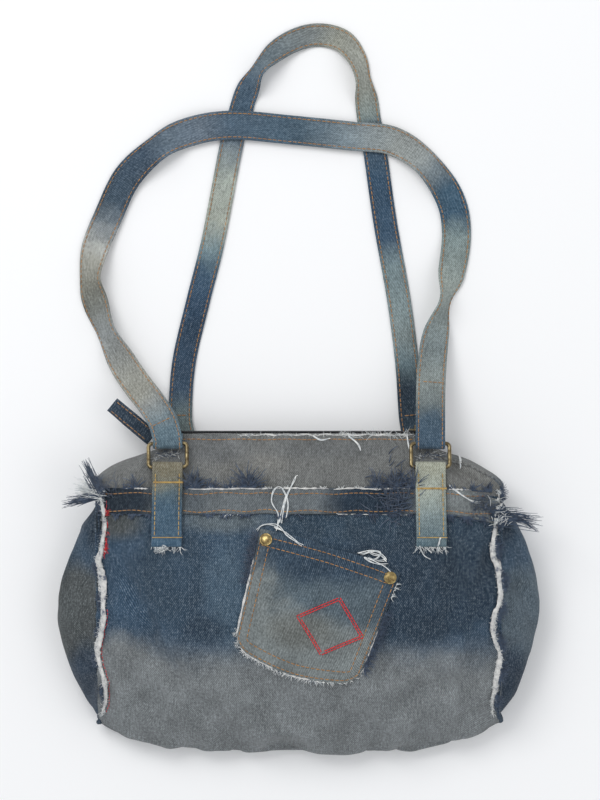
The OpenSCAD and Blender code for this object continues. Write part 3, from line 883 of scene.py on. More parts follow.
def ribbon(name, stations, width, thick, edge=0.0026):
    """A folded strap along stations of (middle, across, up): rounded edges, stitch grooves, own UVs."""
    half = width / 2
    shape = [(-half, 0), (-half + 0.0005, 0.8), (-half + edge * 0.6, 1.0), (-half + edge, 0.72),
             (-half + edge * 1.5, 0.98), (-half * 0.3, 0.88), (half * 0.3, 0.88), (half - edge * 1.5, 0.98),
             (half - edge, 0.72), (half - edge * 0.6, 1.0), (half - 0.0005, 0.8), (half, 0)]
    outline = shape + [(u, -h) for u, h in reversed(shape[1:-1])]
    made = bmesh.new()
    cloth = made.loops.layers.uv.new("cloth")
    rings, run = [], [0]
    for i, (middle, across, up) in enumerate(stations):
        if i:
            run.append(run[-1] + (middle - stations[i - 1][0]).length)
        line = []
        for u, h in outline:
            ripple = noise.noise(Vector((u * 60, run[-1] * 150, width * 90))) * 0.00022
            slack = noise.noise(Vector((3, run[-1] * 42, u * 26))) * 0.0005
            line.append(made.verts.new(middle + across * u + up * (h * thick / 2 + ripple + slack)))
        rings.append(line)
    count = len(outline)
    for i in range(len(rings) - 1):
        for k in range(count):
            n = (k + 1) % count
            face = made.faces.new([rings[i][k], rings[i][n], rings[i + 1][n], rings[i + 1][k]])
            places = [(outline[k][0], run[i]), (outline[n][0], run[i]),
                      (outline[n][0], run[i + 1]), (outline[k][0], run[i + 1])]
            for loop, place in zip(face.loops, places):
                loop[cloth].uv = (place[0] + 0.05, place[1])
    made.faces.new(list(reversed(rings[0])))
    made.faces.new(rings[-1])
    bmesh.ops.recalc_face_normals(made, faces=made.faces)
    piece = piece_of(name, made)
    piece.data.shade_smooth()
    return piece, run[-1]


def sew_strap(threads, stations, width, faces=(1,), edge=0.0026, thick=0.002, skip=(0, 0)):
    """Rows of stitches along both edges of a strap, on one face of it or on both."""
    chosen = stations[skip[0]:len(stations) - skip[1]]
    for face in faces:
        for sign in (-1, 1):
            line = [(m + a * sign * (width / 2 - edge) + n * face * thick * 0.40, n * face)
                    for m, a, n in chosen]
            sew(threads, line)


# Dyes from the ring down: (share of the strip's upper layer, colour)
tab_dyes = {
    "front_left": [(0, (0.190, 0.172, 0.120)), (0.14, (0.150, 0.158, 0.132)), (0.32, (0.072, 0.108, 0.128)),
                   (0.50, (0.052, 0.096, 0.138)), (1, (0.052, 0.106, 0.165))],
    "front_right": [(0, (0.34, 0.35, 0.28)), (0.4, (0.28, 0.32, 0.29)), (0.62, (0.19, 0.24, 0.245)),
                    (1, (0.085, 0.135, 0.162))],
    "back_left": [(0, (0.12, 0.15, 0.14)), (1, (0.05, 0.085, 0.12))],
    "back_right": [(0, (0.05, 0.08, 0.11)), (1, (0.16, 0.18, 0.17))]}
# Where each bar tack lies, as a station along the strip
tack_stations = {"front_left": 21, "front_right": 23, "back_left": 26, "back_right": 26}
tab_trees = []
for node, dye in tab_dyes.items():
    side = 1 if node.startswith("front") else -1
    ring_low, ring_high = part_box(f"{node.split('_')[0]}_right_ring")
    tab_low, tab_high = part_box(f"{node}_tab")
    x = (tab_low.x + tab_high.x) / 2
    width = tab_high.x - tab_low.x
    bar = Vector((x, ring_low.y + wire_r, ring_high.z - wire_r))
    cover = 0.0004 + band_t
    stations = []

    def over(y, h):
        """Height of the tab's middle over the skin and the band, where the cloth stands highest."""
        best = None
        for k in (-0.9, -0.45, 0, 0.45, 0.9):
            hit, up = on_cloth(x + k * width / 2, y, side)
            if hit is not None:
                best = hit.z if best is None else (max(best, hit.z) if side > 0 else min(best, hit.z))
        return best + side * h
    # The hidden lower layer, the turn round the bar, and the long upper layer
    for y in (bar.y - 0.016, bar.y - 0.012, bar.y - 0.008, bar.y - 0.004):
        t = min(1, (y - bar.y + 0.016) / 0.012)
        flat = over(y, 0.0005 + loop_t / 2)
        stations.append(Vector((x, y, flat + (bar.z - side * loop_r - flat) * t ** 2)))
    for i in range(0, 13):
        a = math.radians(-90 + 15 * i)
        stations.append(bar + Vector((0, math.cos(a), side * math.sin(a))) * loop_r)
    far_y = tab_low.y + 0.001
    steps = 26
    for i in range(1, steps + 1):
        y = bar.y + (far_y - bar.y) * i / steps
        t = min(1, i / steps * abs(far_y - bar.y) / 0.016)
        t = t * t * (3 - 2 * t)
        flat = over(y, cover * (1 if y < band_top_y + 0.004 else 0.55) + loop_t * 1.45)
        start_z = bar.z + side * loop_r
        stations.append(Vector((x, y, start_z + (flat - start_z) * t)))
    framed = []
    for i, p in enumerate(stations):
        run = (stations[min(len(stations) - 1, i + 1)] - stations[max(0, i - 1)]).normalized()
        across = Vector((side, 0, 0))
        framed.append((p, across, run.cross(across).normalized() * -1))
    if framed[-3][2].z * side < 0:
        framed = [(p, a, -n) for p, a, n in framed]
    tab, tab_length = ribbon(f"{node}_tab_cloth", framed, width, loop_t)
    # The first third of the strip is its hidden layer and the turn round the ring
    stops = [(0, dye[0][1])] + [(0.32 + 0.68 * s, c) for s, c in dye]
    tab_finish = denim(f"denim_{node}_tab", dye[0][1], by_length=(tab_length, stops), wear=0.25)
    settle(tab, tab_finish, "bag", "denim_tab", f"{node}_tab")
    sewn = Threads()
    sew_strap(sewn, framed, width, thick=loop_t, skip=(18, 3))
    # Bar tack across the tab below its ring, and a cross row where it ends
    for index, rows_at in ((tack_stations[node], (0, 0.0007)), (len(framed) - 4, (0,))):
        p, a, n = framed[index]
        down = (framed[index + 1][0] - p).normalized()
        for shift in rows_at:
            for k in range(int(width / 0.0016)):
                s = -width / 2 + 0.001 + k * 0.0016
                sewn.stitch(p + a * s + n * loop_t * 0.46 + down * shift,
                            p + a * (s + 0.0015) + n * loop_t * 0.46 + down * shift, n, 0.00042)
    sewn.finish(f"{node}_tab_stitching", gold_thread, "bag", "raw_edge")
    loose = Threads()
    end, a, n = framed[-1]
    down = (framed[-1][0] - framed[-2][0]).normalized()
    for i in range(46):
        s = rng.uniform(-0.5, 0.5) * width
        fray(loose, end + a * s - down * 0.001, down + a * rng.gauss(0, 0.5) + n * 0.25,
             rng.uniform(0.003, 0.009), 0.8,
             up=n)
    loose.finish(f"{node}_tab_frays", white_fray, "bag", "raw_edge")
    if side > 0:
        tab_trees.append(tree_of(tab))

# ---------------------------------------------------------------- handles
# Two long handles of folded double denim with a row of stitches along each edge. Each end wraps
# round a ring's upper bar and is sewn back on itself. A bend is (across, up from the ring, lift, roll)
# in millimetres and degrees; from left ring to right ring.
front_bends = [(-111, 18, 39, 0), (-120, 32, 30, 0), (-132, 47, 21, 0), (-144, 64, 11, 8),
               (-158, 90, 1, 46),
               (-168, 116, 0, 25), (-172, 137, 0, 42), (-168, 161, 0, 16), (-158, 186, 0, 6),
               (-142, 219, 0, 8),
               (-117, 243, 0.5, 24), (-92, 256, 3.4, 0), (-56, 262, 3.8, 0), (-6, 258, 3.6, 0),
               (43, 253, 3.8, 0),
               (77, 249, 3.4, 0), (104, 231, 0.5, 22), (124, 203, 0, 6), (130, 174, 0, 2),
               (126, 141, 0, 20),
               (120, 116, 0, 66), (112, 86, 8, 18), (108, 50, 25, 0)]
back_bends = [(-98, 22, 1, 0), (-95, 66, 0, 0), (-83, 118, 0, 0), (-71, 166, 0, 0), (-56, 244, 0, 0),
              (-48, 274, 0, 0),
              (-43, 289, 0, 6), (-34, 306, 0, 52), (-18, 323, 0, 20), (0, 333, 0, 4), (18, 336, 0, 0),
              (36, 331, 0, 8),
              (48, 316, 0, 30), (53, 298, 0, 46), (56, 280, 0, 6), (58, 265, 0, 0), (62, 245, 0, 0),
              (71, 182, 0, 0),
              (82, 120, 0, 0), (89, 66, 0, 0), (92, 22, 1, 0)]
# Colours along the front handle from ring to ring: its dye, with painted shade darkening some stops where the
# handle twists
front_dye_and_twist_shade = [(0, (0.085, 0.140, 0.185)), (0.045, (0.105, 0.158, 0.190)), (0.080, (0.25, 0.263, 0.253)),
             (0.10, (0.30, 0.30, 0.26)),
             (0.165, (0.27, 0.29, 0.29)), (0.195, (0.16, 0.168, 0.152)), (0.215, (0.19, 0.19, 0.16)),
             (0.24, (0.32, 0.32, 0.28)), (0.262, (0.37, 0.38, 0.36)), (0.285, (0.132, 0.16, 0.183)),
             (0.31, (0.046, 0.074, 0.104)), (0.365, (0.040, 0.066, 0.100)), (0.395, (0.11, 0.15, 0.19)),
             (0.425, (0.12, 0.155, 0.195)), (0.46, (0.062, 0.100, 0.142)), (0.53, (0.062, 0.105, 0.145)),
             (0.58, (0.172, 0.215, 0.239)), (0.63, (0.255, 0.275, 0.265)), (0.66, (0.27, 0.295, 0.29)),
             (0.70, (0.046, 0.094, 0.141)), (0.728, (0.043, 0.091, 0.14)), (0.755, (0.187, 0.241, 0.24)),
             (0.80, (0.273, 0.308, 0.284)), (0.86, (0.19, 0.23, 0.235)), (0.905, (0.22, 0.25, 0.24)),
             (0.93, (0.149, 0.177, 0.179)), (0.95, (0.05, 0.087, 0.125)), (1, (0.045, 0.077, 0.116))]
back_dye = [(0, (0.125, 0.15, 0.14)), (0.03, (0.138, 0.167, 0.160)), (0.055, (0.136, 0.177, 0.179)),
            (0.08, (0.041, 0.072, 0.114)), (0.14, (0.027, 0.055, 0.095)), (0.18, (0.031, 0.064, 0.111)),
            (0.21, (0.045, 0.085, 0.13)), (0.235, (0.164, 0.23, 0.25)), (0.265, (0.32, 0.345, 0.30)),
            (0.31, (0.33, 0.365, 0.325)), (0.345, (0.15, 0.19, 0.22)), (0.365, (0.051, 0.093, 0.139)),
            (0.41, (0.06, 0.10, 0.145)), (0.45, (0.12, 0.155, 0.175)), (0.50, (0.17, 0.19, 0.19)),
            (0.53, (0.264, 0.271, 0.23)), (0.56, (0.33, 0.34, 0.30)), (0.60, (0.238, 0.252, 0.222)),
            (0.625, (0.177, 0.219, 0.213)), (0.645, (0.061, 0.099, 0.139)), (0.70, (0.03, 0.065, 0.11)),
            (0.755, (0.04, 0.078, 0.126)), (0.79, (0.163, 0.218, 0.231)), (0.86, (0.205, 0.25, 0.25)),
            (0.89, (0.123, 0.175, 0.195)), (0.915, (0.021, 0.036, 0.054)), (1, (0.03, 0.055, 0.08))]
fold_tail = 0.008


def catmull(p, t):
    """Point at t along a smooth curve through the given places."""
    i = min(len(p) - 2, int(t))
    f = t - i
    a, b, c, d = p[max(0, i - 1)], p[i], p[i + 1], p[min(len(p) - 1, i + 2)]
    return [0.5 * (2 * b[k] + (c[k] - a[k]) * f + (2 * a[k] - 5 * b[k] + 4 * c[k] - d[k]) * f * f
                   + (3 * b[k] - a[k] - 3 * c[k] + d[k]) * f ** 3) for k in range(4)]


for side_name, side, bends, dye in (("front", 1, front_bends, front_dye_and_twist_shade),
                                    ("back", -1, back_bends, back_dye)):
    tab_low, tab_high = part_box(f"{side_name}_right_tab")
    ring_low, ring_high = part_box(f"{side_name}_right_ring")
    width, ring_x = tab_high.x - tab_low.x, (tab_low.x + tab_high.x) / 2
    strap_t = 0.002
    loop_in = wire_r + 0.0013
    bar_y, bar_z = ring_high.y - wire_r, ring_low.z + wire_r
    turn_r = loop_in + strap_t / 2

    def turn_round(sign):
        """The strap's end round the ring on that side, from its folded tail to the bar's top."""
        across = Vector((-sign, 0, 0))
        x = sign * ring_x
        line = [(Vector((x, bar_y + fold_tail, bar_z - turn_r)), across, Vector((0, 0, -1)))]
        for i in range(25):
            a = math.radians(270 - 7.5 * i)
            out = Vector((0, math.cos(a), math.sin(a)))
            line.append((Vector((x, bar_y, bar_z)) + out * turn_r, across, out))
        return line
    route = [(-ring_x, bar_y + 0.004, bar_z + loop_in, 0)]
    route += [(b[0] / 1000, bar_y + b[1] / 1000, b[2] / 1000, b[3]) for b in bends]
    route += [(ring_x, bar_y + 0.004, bar_z + loop_in, 0)]
    middle = []
    steps = 12 * (len(route) - 1)
    for i in range(steps + 1):
        t = i / 12
        x, y, lift, roll = catmull(route, t)
        ahead, behind = catmull(route, min(len(route) - 1, t + 0.05)), catmull(route, max(0, t - 0.05))
        along = Vector((ahead[0] - behind[0], ahead[1] - behind[1])).normalized()
        r = math.radians(roll)
        z = lift + abs(math.sin(r)) * width / 2 + math.cos(r) * strap_t / 2
        level = Vector((along.y, -along.x, 0))
        middle.append((Vector((x, y, z)), level * math.cos(r) + Vector((0, 0, math.sin(r))),
                       level * -math.sin(r) + Vector((0, 0, math.cos(r)))))
    whole = turn_round(-1) + middle + list(reversed(turn_round(1)))
    handle, run = ribbon(f"{side_name}_handle_cloth", whole, width - 0.0006, strap_t - 0.0004)
    # For the front handle these colours are its dye with painted shade where it twists
    handle_finish = denim(f"denim_{side_name}_handle", (0.1, 0.13, 0.15), by_length=(run, dye), wear=0.22)
    settle(handle, handle_finish, f"handle_{side_name}", "denim_handle", f"{side_name}_handle")
    sewn = Threads()
    sew_strap(sewn, whole, width, (1, -1), thick=strap_t - 0.0004, skip=(14, 14))
    # The end is held by a row across it, some way above the ring
    for end in (38, len(whole) - 39):
        p, a, n = whole[end]
        for k in range(int((width - 0.006) / 0.0040)):
            s = -width / 2 + 0.0035 + k * 0.0040
            sewn.stitch(p + a * s + n * strap_t * 0.36, p + a * (s + 0.003) + n * strap_t * 0.36, n)
    sewn.finish(f"{side_name}_handle_stitching", orange_thread, f"handle_{side_name}", "raw_edge")

# ---------------------------------------------------------------- rings and zip hardware
# Rectangular rings of antique brass wire; the zip's slider, pull and stops are of the same finish.
# The CAD pieces have the right shape and stay, with a worn, tarnished metal on them.


def antique_brass(name, bright, dark):
    """Brass rubbed bright in patches, with dark tarnish in others."""
    finish, tree, shader = new_finish(name, Metallic=1.0)
    place = tree.nodes.new("ShaderNodeTexCoord").outputs["Object"]
    patch = noise_of(tree, place, 260, 6, 0.65)
    tree.links.new(colour_ramp(tree, patch, [(0.38, dark), (0.58, bright)]), shader.inputs["Base Color"])
    tree.links.new(remap(tree, patch, 0.35, 0.65, 0.55, 0.30), shader.inputs["Roughness"])
    raise_grain(tree, shader, noise_of(tree, place, 1400, 3), Strength=0.25, Distance=0.0003)
    return finish

ring_brass = antique_brass("ring_brass", (0.30, 0.24, 0.13), (0.12, 0.09, 0.05))
slider_brass = antique_brass("slider_brass", (0.36, 0.29, 0.17), (0.12, 0.09, 0.05))
for name in ("front_left_ring", "front_right_ring", "back_left_ring", "back_right_ring"):
    for slot in frame["nodes"][name].material_slots:
        slot.material = ring_brass
for name in ("zip_slider", "zip_pull", "zip_stops"):
    for slot in frame["nodes"][name].material_slots:
        slot.material = slider_brass

# ---------------------------------------------------------------- zip
# A black coil-and-tape zip sewn into the mouth, which faces the handles. The tapes are woven, and
# the chain is two rows of small black teeth that lock into each other.
tape_finish, tape_tree, tape_shader = new_finish("zip_tape_woven", Sheen_Weight=0.3, Roughness=0.8)
tape_place = add_node(tape_tree, "ShaderNodeMapping", Rotation=(math.radians(90), 0, 0),
                      Vector=tape_tree.nodes.new("ShaderNodeTexCoord").outputs["Object"])
tape_weave = add_node(tape_tree, "ShaderNodeTexBrick", Vector=tape_place.outputs["Vector"], Scale=1,
                      Brick_Width=0.0011, Row_Height=0.0006, Mortar_Size=0.00009,
                      Color1=(0.012, 0.013, 0.017, 1), Color2=(0.022, 0.024, 0.030, 1),
                      Mortar=(0.004, 0.004, 0.006, 1))
tape_tree.links.new(tape_weave.outputs["Color"], tape_shader.inputs["Base Color"])
raise_grain(tape_tree, tape_shader, tape_weave.outputs["Fac"], Distance=0.0002)
for name in ("front_zip_tape", "back_zip_tape"):
    for slot in frame["nodes"][name].material_slots:
        slot.material = tape_finish

chain_low, chain_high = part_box("zip_teeth")
tooth_pitch = 0.0021
tooth_finish, tooth_tree, tooth_shader = new_finish("zip_teeth_black", Roughness=0.34)
tooth_grain = add_node(tooth_tree, "ShaderNodeTexNoise", Scale=900)
tooth_tint = colour_ramp(tooth_tree, tooth_grain.outputs["Fac"],
                         [(0, (0.010, 0.010, 0.013)), (1, (0.050, 0.050, 0.058))])
tooth_tree.links.new(tooth_tint, tooth_shader.inputs["Base Color"])
bpy.ops.mesh.primitive_cube_add(size=1, location=(0, 0, 0))
tooth = bpy.context.active_object
tooth.scale = (tooth_pitch * 0.62, chain_high.y - chain_low.y - 0.0002, 0.0021)
bpy.ops.object.transform_apply(location=False, rotation=False, scale=True)
round_edge = tooth.modifiers.new("round", "BEVEL")
round_edge.width = 0.00032
round_edge.segments = 2
bpy.ops.object.modifier_apply(modifier="round")
teeth = bmesh.new()
count = int((chain_high.x - chain_low.x) / tooth_pitch)
middle_y, middle_z = (chain_low.y + chain_high.y) / 2, (chain_low.z + chain_high.z) / 2
for row, shift in ((-1, 0), (1, tooth_pitch / 2)):
    for i in range(count):
        first = len(teeth.verts)
        teeth.from_mesh(tooth.data)
        teeth.verts.ensure_lookup_table()
        place = Vector((chain_low.x + 0.001 + i * tooth_pitch + shift, middle_y, middle_z + row * 0.00142))
        for v in teeth.verts[first:]:
            v.co += place
bpy.data.objects.remove(tooth)
teeth_piece = piece_of("zip_teeth_rows", teeth)
settle(teeth_piece, tooth_finish, "bag", "zip_chain", "zip_teeth")

# The zip's loose end, covered in a folded bit of dark denim, lies out past the left corner
tail_low, tail_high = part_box("zip_tail")
tail_w, tail_t, tail_l = 0.0136, 0.0022, 0.043
tail_turn = math.radians(140)
tail_way = Vector((math.cos(tail_turn), math.sin(tail_turn), 0))
tail_start = Vector((tail_high.x - 0.0045, tail_low.y + 0.0054, (tail_low.z + tail_high.z) / 2))
tail_across = Vector((-tail_way.y, tail_way.x, 0))
tail_line = []
for i in range(23):
    t = i / 22
    roll = math.radians(10 * math.sin(t * 5) - 6)
    p = tail_start + tail_way * (tail_l * t) + Vector((0, 0, 0.0012 * math.sin(t * 4)))
    across = (tail_across * math.cos(roll) + Vector((0, 0, math.sin(roll)))) * -1
    tail_line.append((p, across, Vector((0, 0, math.cos(roll))) - tail_across * math.sin(roll)))
tail, tail_run = ribbon("zip_tail_cloth", tail_line, tail_w, tail_t)
settle(tail, denim("denim_zip_tail", (0.026, 0.044, 0.068), wear=0.25), "bag", "denim_dark", "zip_tail")
tail_sewn = Threads()
sew_strap(tail_sewn, tail_line, tail_w, (1,), thick=tail_t, edge=0.0022, skip=(2, 1))
tail_sewn.finish("zip_tail_stitching", orange_thread, "bag", "raw_edge")

# ---------------------------------------------------------------- patch pocket
# A back pocket cut from a pair of jeans and sewn on askew: five-sided with rounded corners, its
# mouth standing a little open, with two rows of orange thread along its hem, sides and bottom.
pocket_w, pocket_h, pocket_turn = 0.118, 0.108, math.radians(17)
pocket_top = Vector((0.025, band_low.y + 0.0005 - 0.030))
pocket_corner = 0.013
pocket_gap = 0.0042


def pocket_depth(u):
    """Depth of the pocket under a place along its mouth, with its point and rounded corners."""
    across = abs(2 * u - 1)
    half = pocket_w * 0.43
    near = max(0, min(1, (across * half - (half - pocket_corner)) / pocket_corner))
    corner = pocket_corner * (1 - math.sqrt(1 - near * near * 0.98))
    return pocket_h * (0.885 + 0.085 * (1 - across ** 1.6)) - corner


def pocket_place(u, down):
    """Place on the plan of a point that far down the pocket, in metres from its mouth."""
    v = down / pocket_h
    half = pocket_w / 2 * (1 - 0.14 * v)
    x = (2 * u - 1) * half
    y = -down + 0.0024 * math.sin(math.pi * u) * (1 - v)
    c, s = math.cos(pocket_turn), math.sin(pocket_turn)
    return pocket_top.x + x * c + y * s, pocket_top.y - x * s + y * c


def pocket_plan(u, v):
    """Place of a point of the pocket: u along its mouth, v from its mouth to its bottom."""
    return pocket_place(u, v * pocket_depth(u))


pocket = lay(
    "patch_pocket_cloth", pocket_plan, 40, 38, 0.0016, 0.0006, 1,
    lambda u, v: pocket_gap * max(0, math.sin(math.pi * u)) ** 0.5 * math.cos(math.pi / 2 * v) ** 0.7
    + (0.0005 if v < 0.1 else 0) + 0.0010 * noise.noise(Vector((u * 5, v * 5, 2))) * math.sin(math.pi * u)
    + 0.0009 * math.exp(-((u - 0.5) * 5 + (v - 0.4) * 3) ** 2 * 4))
pocket_finish = denim("denim_patch_pocket", (0.178, 0.200, 0.200), [
    ((0.080, 0.110, 0.132), 0.052, -0.148, 0.078, 0.046, 0.7),
    ((0.030, 0.054, 0.084), 0.034, -0.132, 0.075, 0.026, 0.6),
    ((0.034, 0.058, 0.086), 0.078, -0.170, 0.014, 0.034, 0.6),
    ((0.140, 0.150, 0.142), 0.002, -0.196, 0.026, 0.014, 0.7)],
    wear=0.22)
settle(pocket, pocket_finish, "bag", "denim_pocket", "patch_pocket")
pocket_tree = tree_of(pocket)


def pocket_row(inset, low=0.004):
    """Line down one side of the pocket, round its bottom and up the other side, that far in."""
    side_u = inset / pocket_w * 1.08
    side_run = pocket_depth(0.06) - pocket_corner * 0.6 - inset - low
    places = [pocket_place(side_u, low + side_run * i / 30) for i in range(31)]
    for i in range(41):
        u = side_u + (1 - 2 * side_u) * i / 40
        places.append(pocket_place(u, pocket_depth(u) - inset * 1.05))
    return places + [pocket_place(1 - side_u, low + side_run * (30 - i) / 30) for i in range(31)]

def stitched(threads, places, tree, **sizes):
    """A row of stitches over places of the plan, on what the tree holds."""
    line = []
    for x, y in places:
        hit, up = on_cloth(x, y, 1, tree)
        if hit is not None and (not line or (hit - line[-1][0]).length > 0.0004):
            line.append((hit, up))
    sew(threads, line, **sizes)


pocket_sewn = Threads()
stitched(pocket_sewn, [pocket_place(0.03 + 0.94 * i / 40, 0.0042) for i in range(41)], pocket_tree)
stitched(pocket_sewn, [pocket_place(0.03 + 0.94 * i / 40, 0.0112) for i in range(41)], pocket_tree)
stitched(pocket_sewn, pocket_row(0.0022), pocket_tree)
stitched(pocket_sewn, pocket_row(0.0092, 0.012), pocket_tree)
pocket_sewn.finish("pocket_stitching", orange_thread, "bag", "raw_edge")

# Plain decoration in red thread: a diamond of two rows side by side
diamond = [(0.40, 0.058), (0.66, 0.034), (0.92, 0.058), (0.66, 0.082), (0.40, 0.058)]
red_sewn = Threads()
for grow in (1, 0.90):
    for (u0, d0), (u1, d1) in zip(diamond, diamond[1:]):
        places = []
        for i in range(13):
            u, down = u0 + (u1 - u0) * i / 12, d0 + (d1 - d0) * i / 12
            places.append(pocket_place(0.66 + (u - 0.66) * grow, 0.058 + (down - 0.058) * grow))
        stitched(red_sewn, places, pocket_tree, stitch=0.0021, gap=0.0005, radius=0.00050)
red_sewn.finish("pocket_decoration", red_thread, "bag", "raw_edge")

# Two domed copper-brass rivets at the ends of the pocket's mouth, each with a rim pressed in the cloth
rivet_finish = antique_brass("rivet_brass", (0.42, 0.32, 0.14), (0.17, 0.12, 0.055))
rivet_rows = [(0, 0.0022), (0.0016, 0.00215), (0.0030, 0.0019), (0.0040, 0.00135), (0.0044, 0.0009),
              (0.0047, 0.0011),
              (0.0051, 0.0009), (0.0052, 0.0003), (0.0050, -0.0006), (0, -0.0006)]
rivet_sides = 28
rivets = bmesh.new()
for u in (0.055, 0.945):
    x, y = pocket_place(u, 0.0062)
    hit, up = on_cloth(x, y, 1, pocket_tree)
    turn = Vector((0, 0, 1)).rotation_difference(up)
    previous = None
    for radius, height in rivet_rows:
        spots = [Vector((0, 0, height))]
        if radius:
            spots = [Vector((radius * math.cos(a), radius * math.sin(a), height))
                     for a in [2 * math.pi * k / rivet_sides for k in range(rivet_sides)]]
        ring = [rivets.verts.new(hit + turn @ spot) for spot in spots]
        if previous:
            for k in range(rivet_sides):
                quad = [previous[k % len(previous)], previous[(k + 1) % len(previous)],
                        ring[(k + 1) % len(ring)], ring[k % len(ring)]]
                rivets.faces.new(list(dict.fromkeys(quad)))
        previous = ring
bmesh.ops.recalc_face_normals(rivets, faces=rivets.faces)
rivet_piece = piece_of("pocket_rivet_caps", rivets)
rivet_piece.data.shade_smooth()
settle(rivet_piece, rivet_finish, "bag", "antique_brass", "pocket_rivets")

# ---------------------------------------------------------------- raw edges
# Where panels join, their raw edges face outwards: a fuzzy white strip of cut weft stands along
# each side seam, with a navy fringe beside it, and thinner white lines edge the band and pocket.
raw_finish, raw_tree, raw_shader = new_finish("raw_edge_fuzz", Sheen_Weight=0.4, Roughness=0.95)
raw_place = raw_tree.nodes.new("ShaderNodeTexCoord").outputs["Object"]
raw_tint = colour_ramp(raw_tree, noise_of(raw_tree, raw_place, 190, 6, 0.7), [
    (0, (0.06, 0.08, 0.12)), (0.36, (0.10, 0.12, 0.17)), (0.44, (0.50, 0.50, 0.49)),
    (0.62, (0.74, 0.73, 0.70)), (1, (0.80, 0.79, 0.76))])
raw_tree.links.new(raw_tint, raw_shader.inputs["Base Color"])
raise_grain(raw_tree, raw_shader, noise_of(raw_tree, raw_place, 1500, 3), Distance=0.0005)

def raw_strip(made, line, width_at, thick, sides=10):
    """A lumpy flattened roll of cut yarn along a line of (point, up) pairs, added to a mesh in the making."""
    rings = []
    last = len(line) - 1
    for i, (p, up) in enumerate(line):
        run = (line[min(last, i + 1)][0] - line[max(0, i - 1)][0]).normalized()
        across = run.cross(up).normalized()
        w = width_at(i / last) / 2
        taper = min(1, 0.25 + 6 * min(i, last - i) / last)
        ring = []
        for k in range(sides):
            a = 2 * math.pi * k / sides
            lump = 1 + 0.35 * noise.noise((p + across * math.cos(a) * 0.004 + up * math.sin(a) * 0.002) * 420)
            reach = across * math.cos(a) * w + up * math.sin(a) * thick / 2
            ring.append(made.verts.new(p + reach * lump * taper))
        rings.append(ring)
    for i in range(last):
        for k in range(sides):
            n = (k + 1) % sides
            made.faces.new([rings[i][k], rings[i][n], rings[i + 1][n], rings[i + 1][k]])
    made.faces.new(list(reversed(rings[0])))
    made.faces.new(rings[-1])


def raw_piece(name, made, *nodes):
    """Finishes a raw edge, which stands for the given CAD nodes."""
    bmesh.ops.recalc_face_normals(made, faces=made.faces)
    piece = piece_of(name, made)
    piece.data.shade_smooth()
    settle(piece, raw_finish, "bag", "raw_edge", *nodes)

navy_loose, white_loose = Threads(), Threads()
for sign, side_name in ((-1, "left"), (1, "right")):
    edge_low, edge_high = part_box(f"front_{side_name}_seam_edge")
    line = []
    count = 120
    for i in range(count + 1):
        t = i / count
        y = edge_high.y + 0.002 + (edge_low.y + 0.004 - edge_high.y) * t
        sway = 0.0026 * math.sin(t * 17 + sign) + 0.0022 * noise.noise(Vector((t * 9, sign * 5, 1)))
        x = sign * (half_width - 0.0030) + sway - sign * 0.0012
        hit, up = on_top(x, y, band_tree)
        lean = (up + Vector((sign * 0.75, 0, 0))).normalized()
        line.append((hit + up * (0.0016 + 0.0005 * math.sin(t * 31)), (lean * 0.6 + up * 0.4).normalized()))

    def seam_width(t):
        """The roll of cut yarn swells and thins along the seam."""
        swell = 0.5 + 0.5 * math.sin(t * 23 + sign)
        return 0.0036 + 0.0020 * swell + 0.0020 * math.exp(-((t - 0.45) * 6) ** 2)
    made = bmesh.new()
    raw_strip(made, line, seam_width, 0.0024, 12)
    raw_piece(f"front_{side_name}_raw_seam", made, f"front_{side_name}_seam_edge")
    for i in range(520):
        p, up = line[rng.randrange(len(line))]
        out = Vector((sign, rng.gauss(0, 0.6), 0.1))
        fray(white_loose, p + Vector((sign * rng.uniform(-0.0018, 0.0018), 0, 0.0006)),
             Vector((rng.choice((-1, 1)) * rng.uniform(0.4, 1), rng.gauss(0, 0.7), 0.35)),
             rng.uniform(0.0014, 0.0034), 0.9)
        t = rng.random()
        clump = 0.5 + 0.5 * math.sin(t * 46 + 2 * sign)
        if clump > (0.35 if sign > 0 else 0.6):
            p, up = line[int(t * (len(line) - 1))]
            for _ in range(5 if sign > 0 else 3):
                fray(navy_loose, p + Vector((sign * 0.0012, rng.gauss(0, 0.0012), 0.0002)), out,
                     rng.uniform(0.003, 0.010 if sign > 0 else 0.006) * clump, 0.8, radius=0.00026)
    if sign < 0:
        # The red line woven into the selvedge shows along the left seam
        red_line = Threads()
        stitched(red_line,
                 [(p.x + 0.0034 + 0.0004 * math.sin(i), p.y) for i, (p, up) in enumerate(line) if i > 62],
                 None, stitch=0.0018, gap=0.0011, radius=0.0003)
        for i in range(70):
            p, up = line[rng.choice((10, 12, 13, 15, 17, 19, 22, 25, 27, 29, 30, 33))]
            fray(red_line, p + Vector((0.0026, rng.gauss(0, 0.002), 0.0004)),
                 Vector((0.6, rng.gauss(0, 1), 0.3)),
                 rng.uniform(0.002, 0.005), 0.9, radius=0.00028)
        red_line.finish("left_seam_red_thread", red_thread, "bag", "raw_edge")
    # The back seam's raw edge lies flat on the floor
    back_low, back_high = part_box(f"back_{side_name}_seam_edge")
    line = []
    for i in range(61):
        t = i / 60
        x = (back_low.x + back_high.x) / 2 + 0.0008 * math.sin(t * 19)
        line.append((Vector((x, back_high.y - 0.002 + (back_low.y + 0.004 - back_high.y) * t, 0.0014)),
                     Vector((0, 0, 1))))
    made = bmesh.new()
    raw_strip(made, line, lambda t: 0.0042 + 0.0008 * math.sin(t * 27), 0.0018)
    raw_piece(f"back_{side_name}_raw_seam", made, f"back_{side_name}_seam_edge")


def edge_line(places, *trees, lift=0.0004):
    """Line of (point, up) pairs just over whatever lies highest at places of the plan."""
    line = []
    for x, y in places:
        hit, up = on_top(x, y, *trees)
        if hit is not None:
            line.append((hit + up * lift, up))
    return line


def band_place(x, v):
    """Place of a point of the front band: v from its top edge to its lower edge."""
    return bands[1][1]((x + band_half) / (2 * band_half), v)


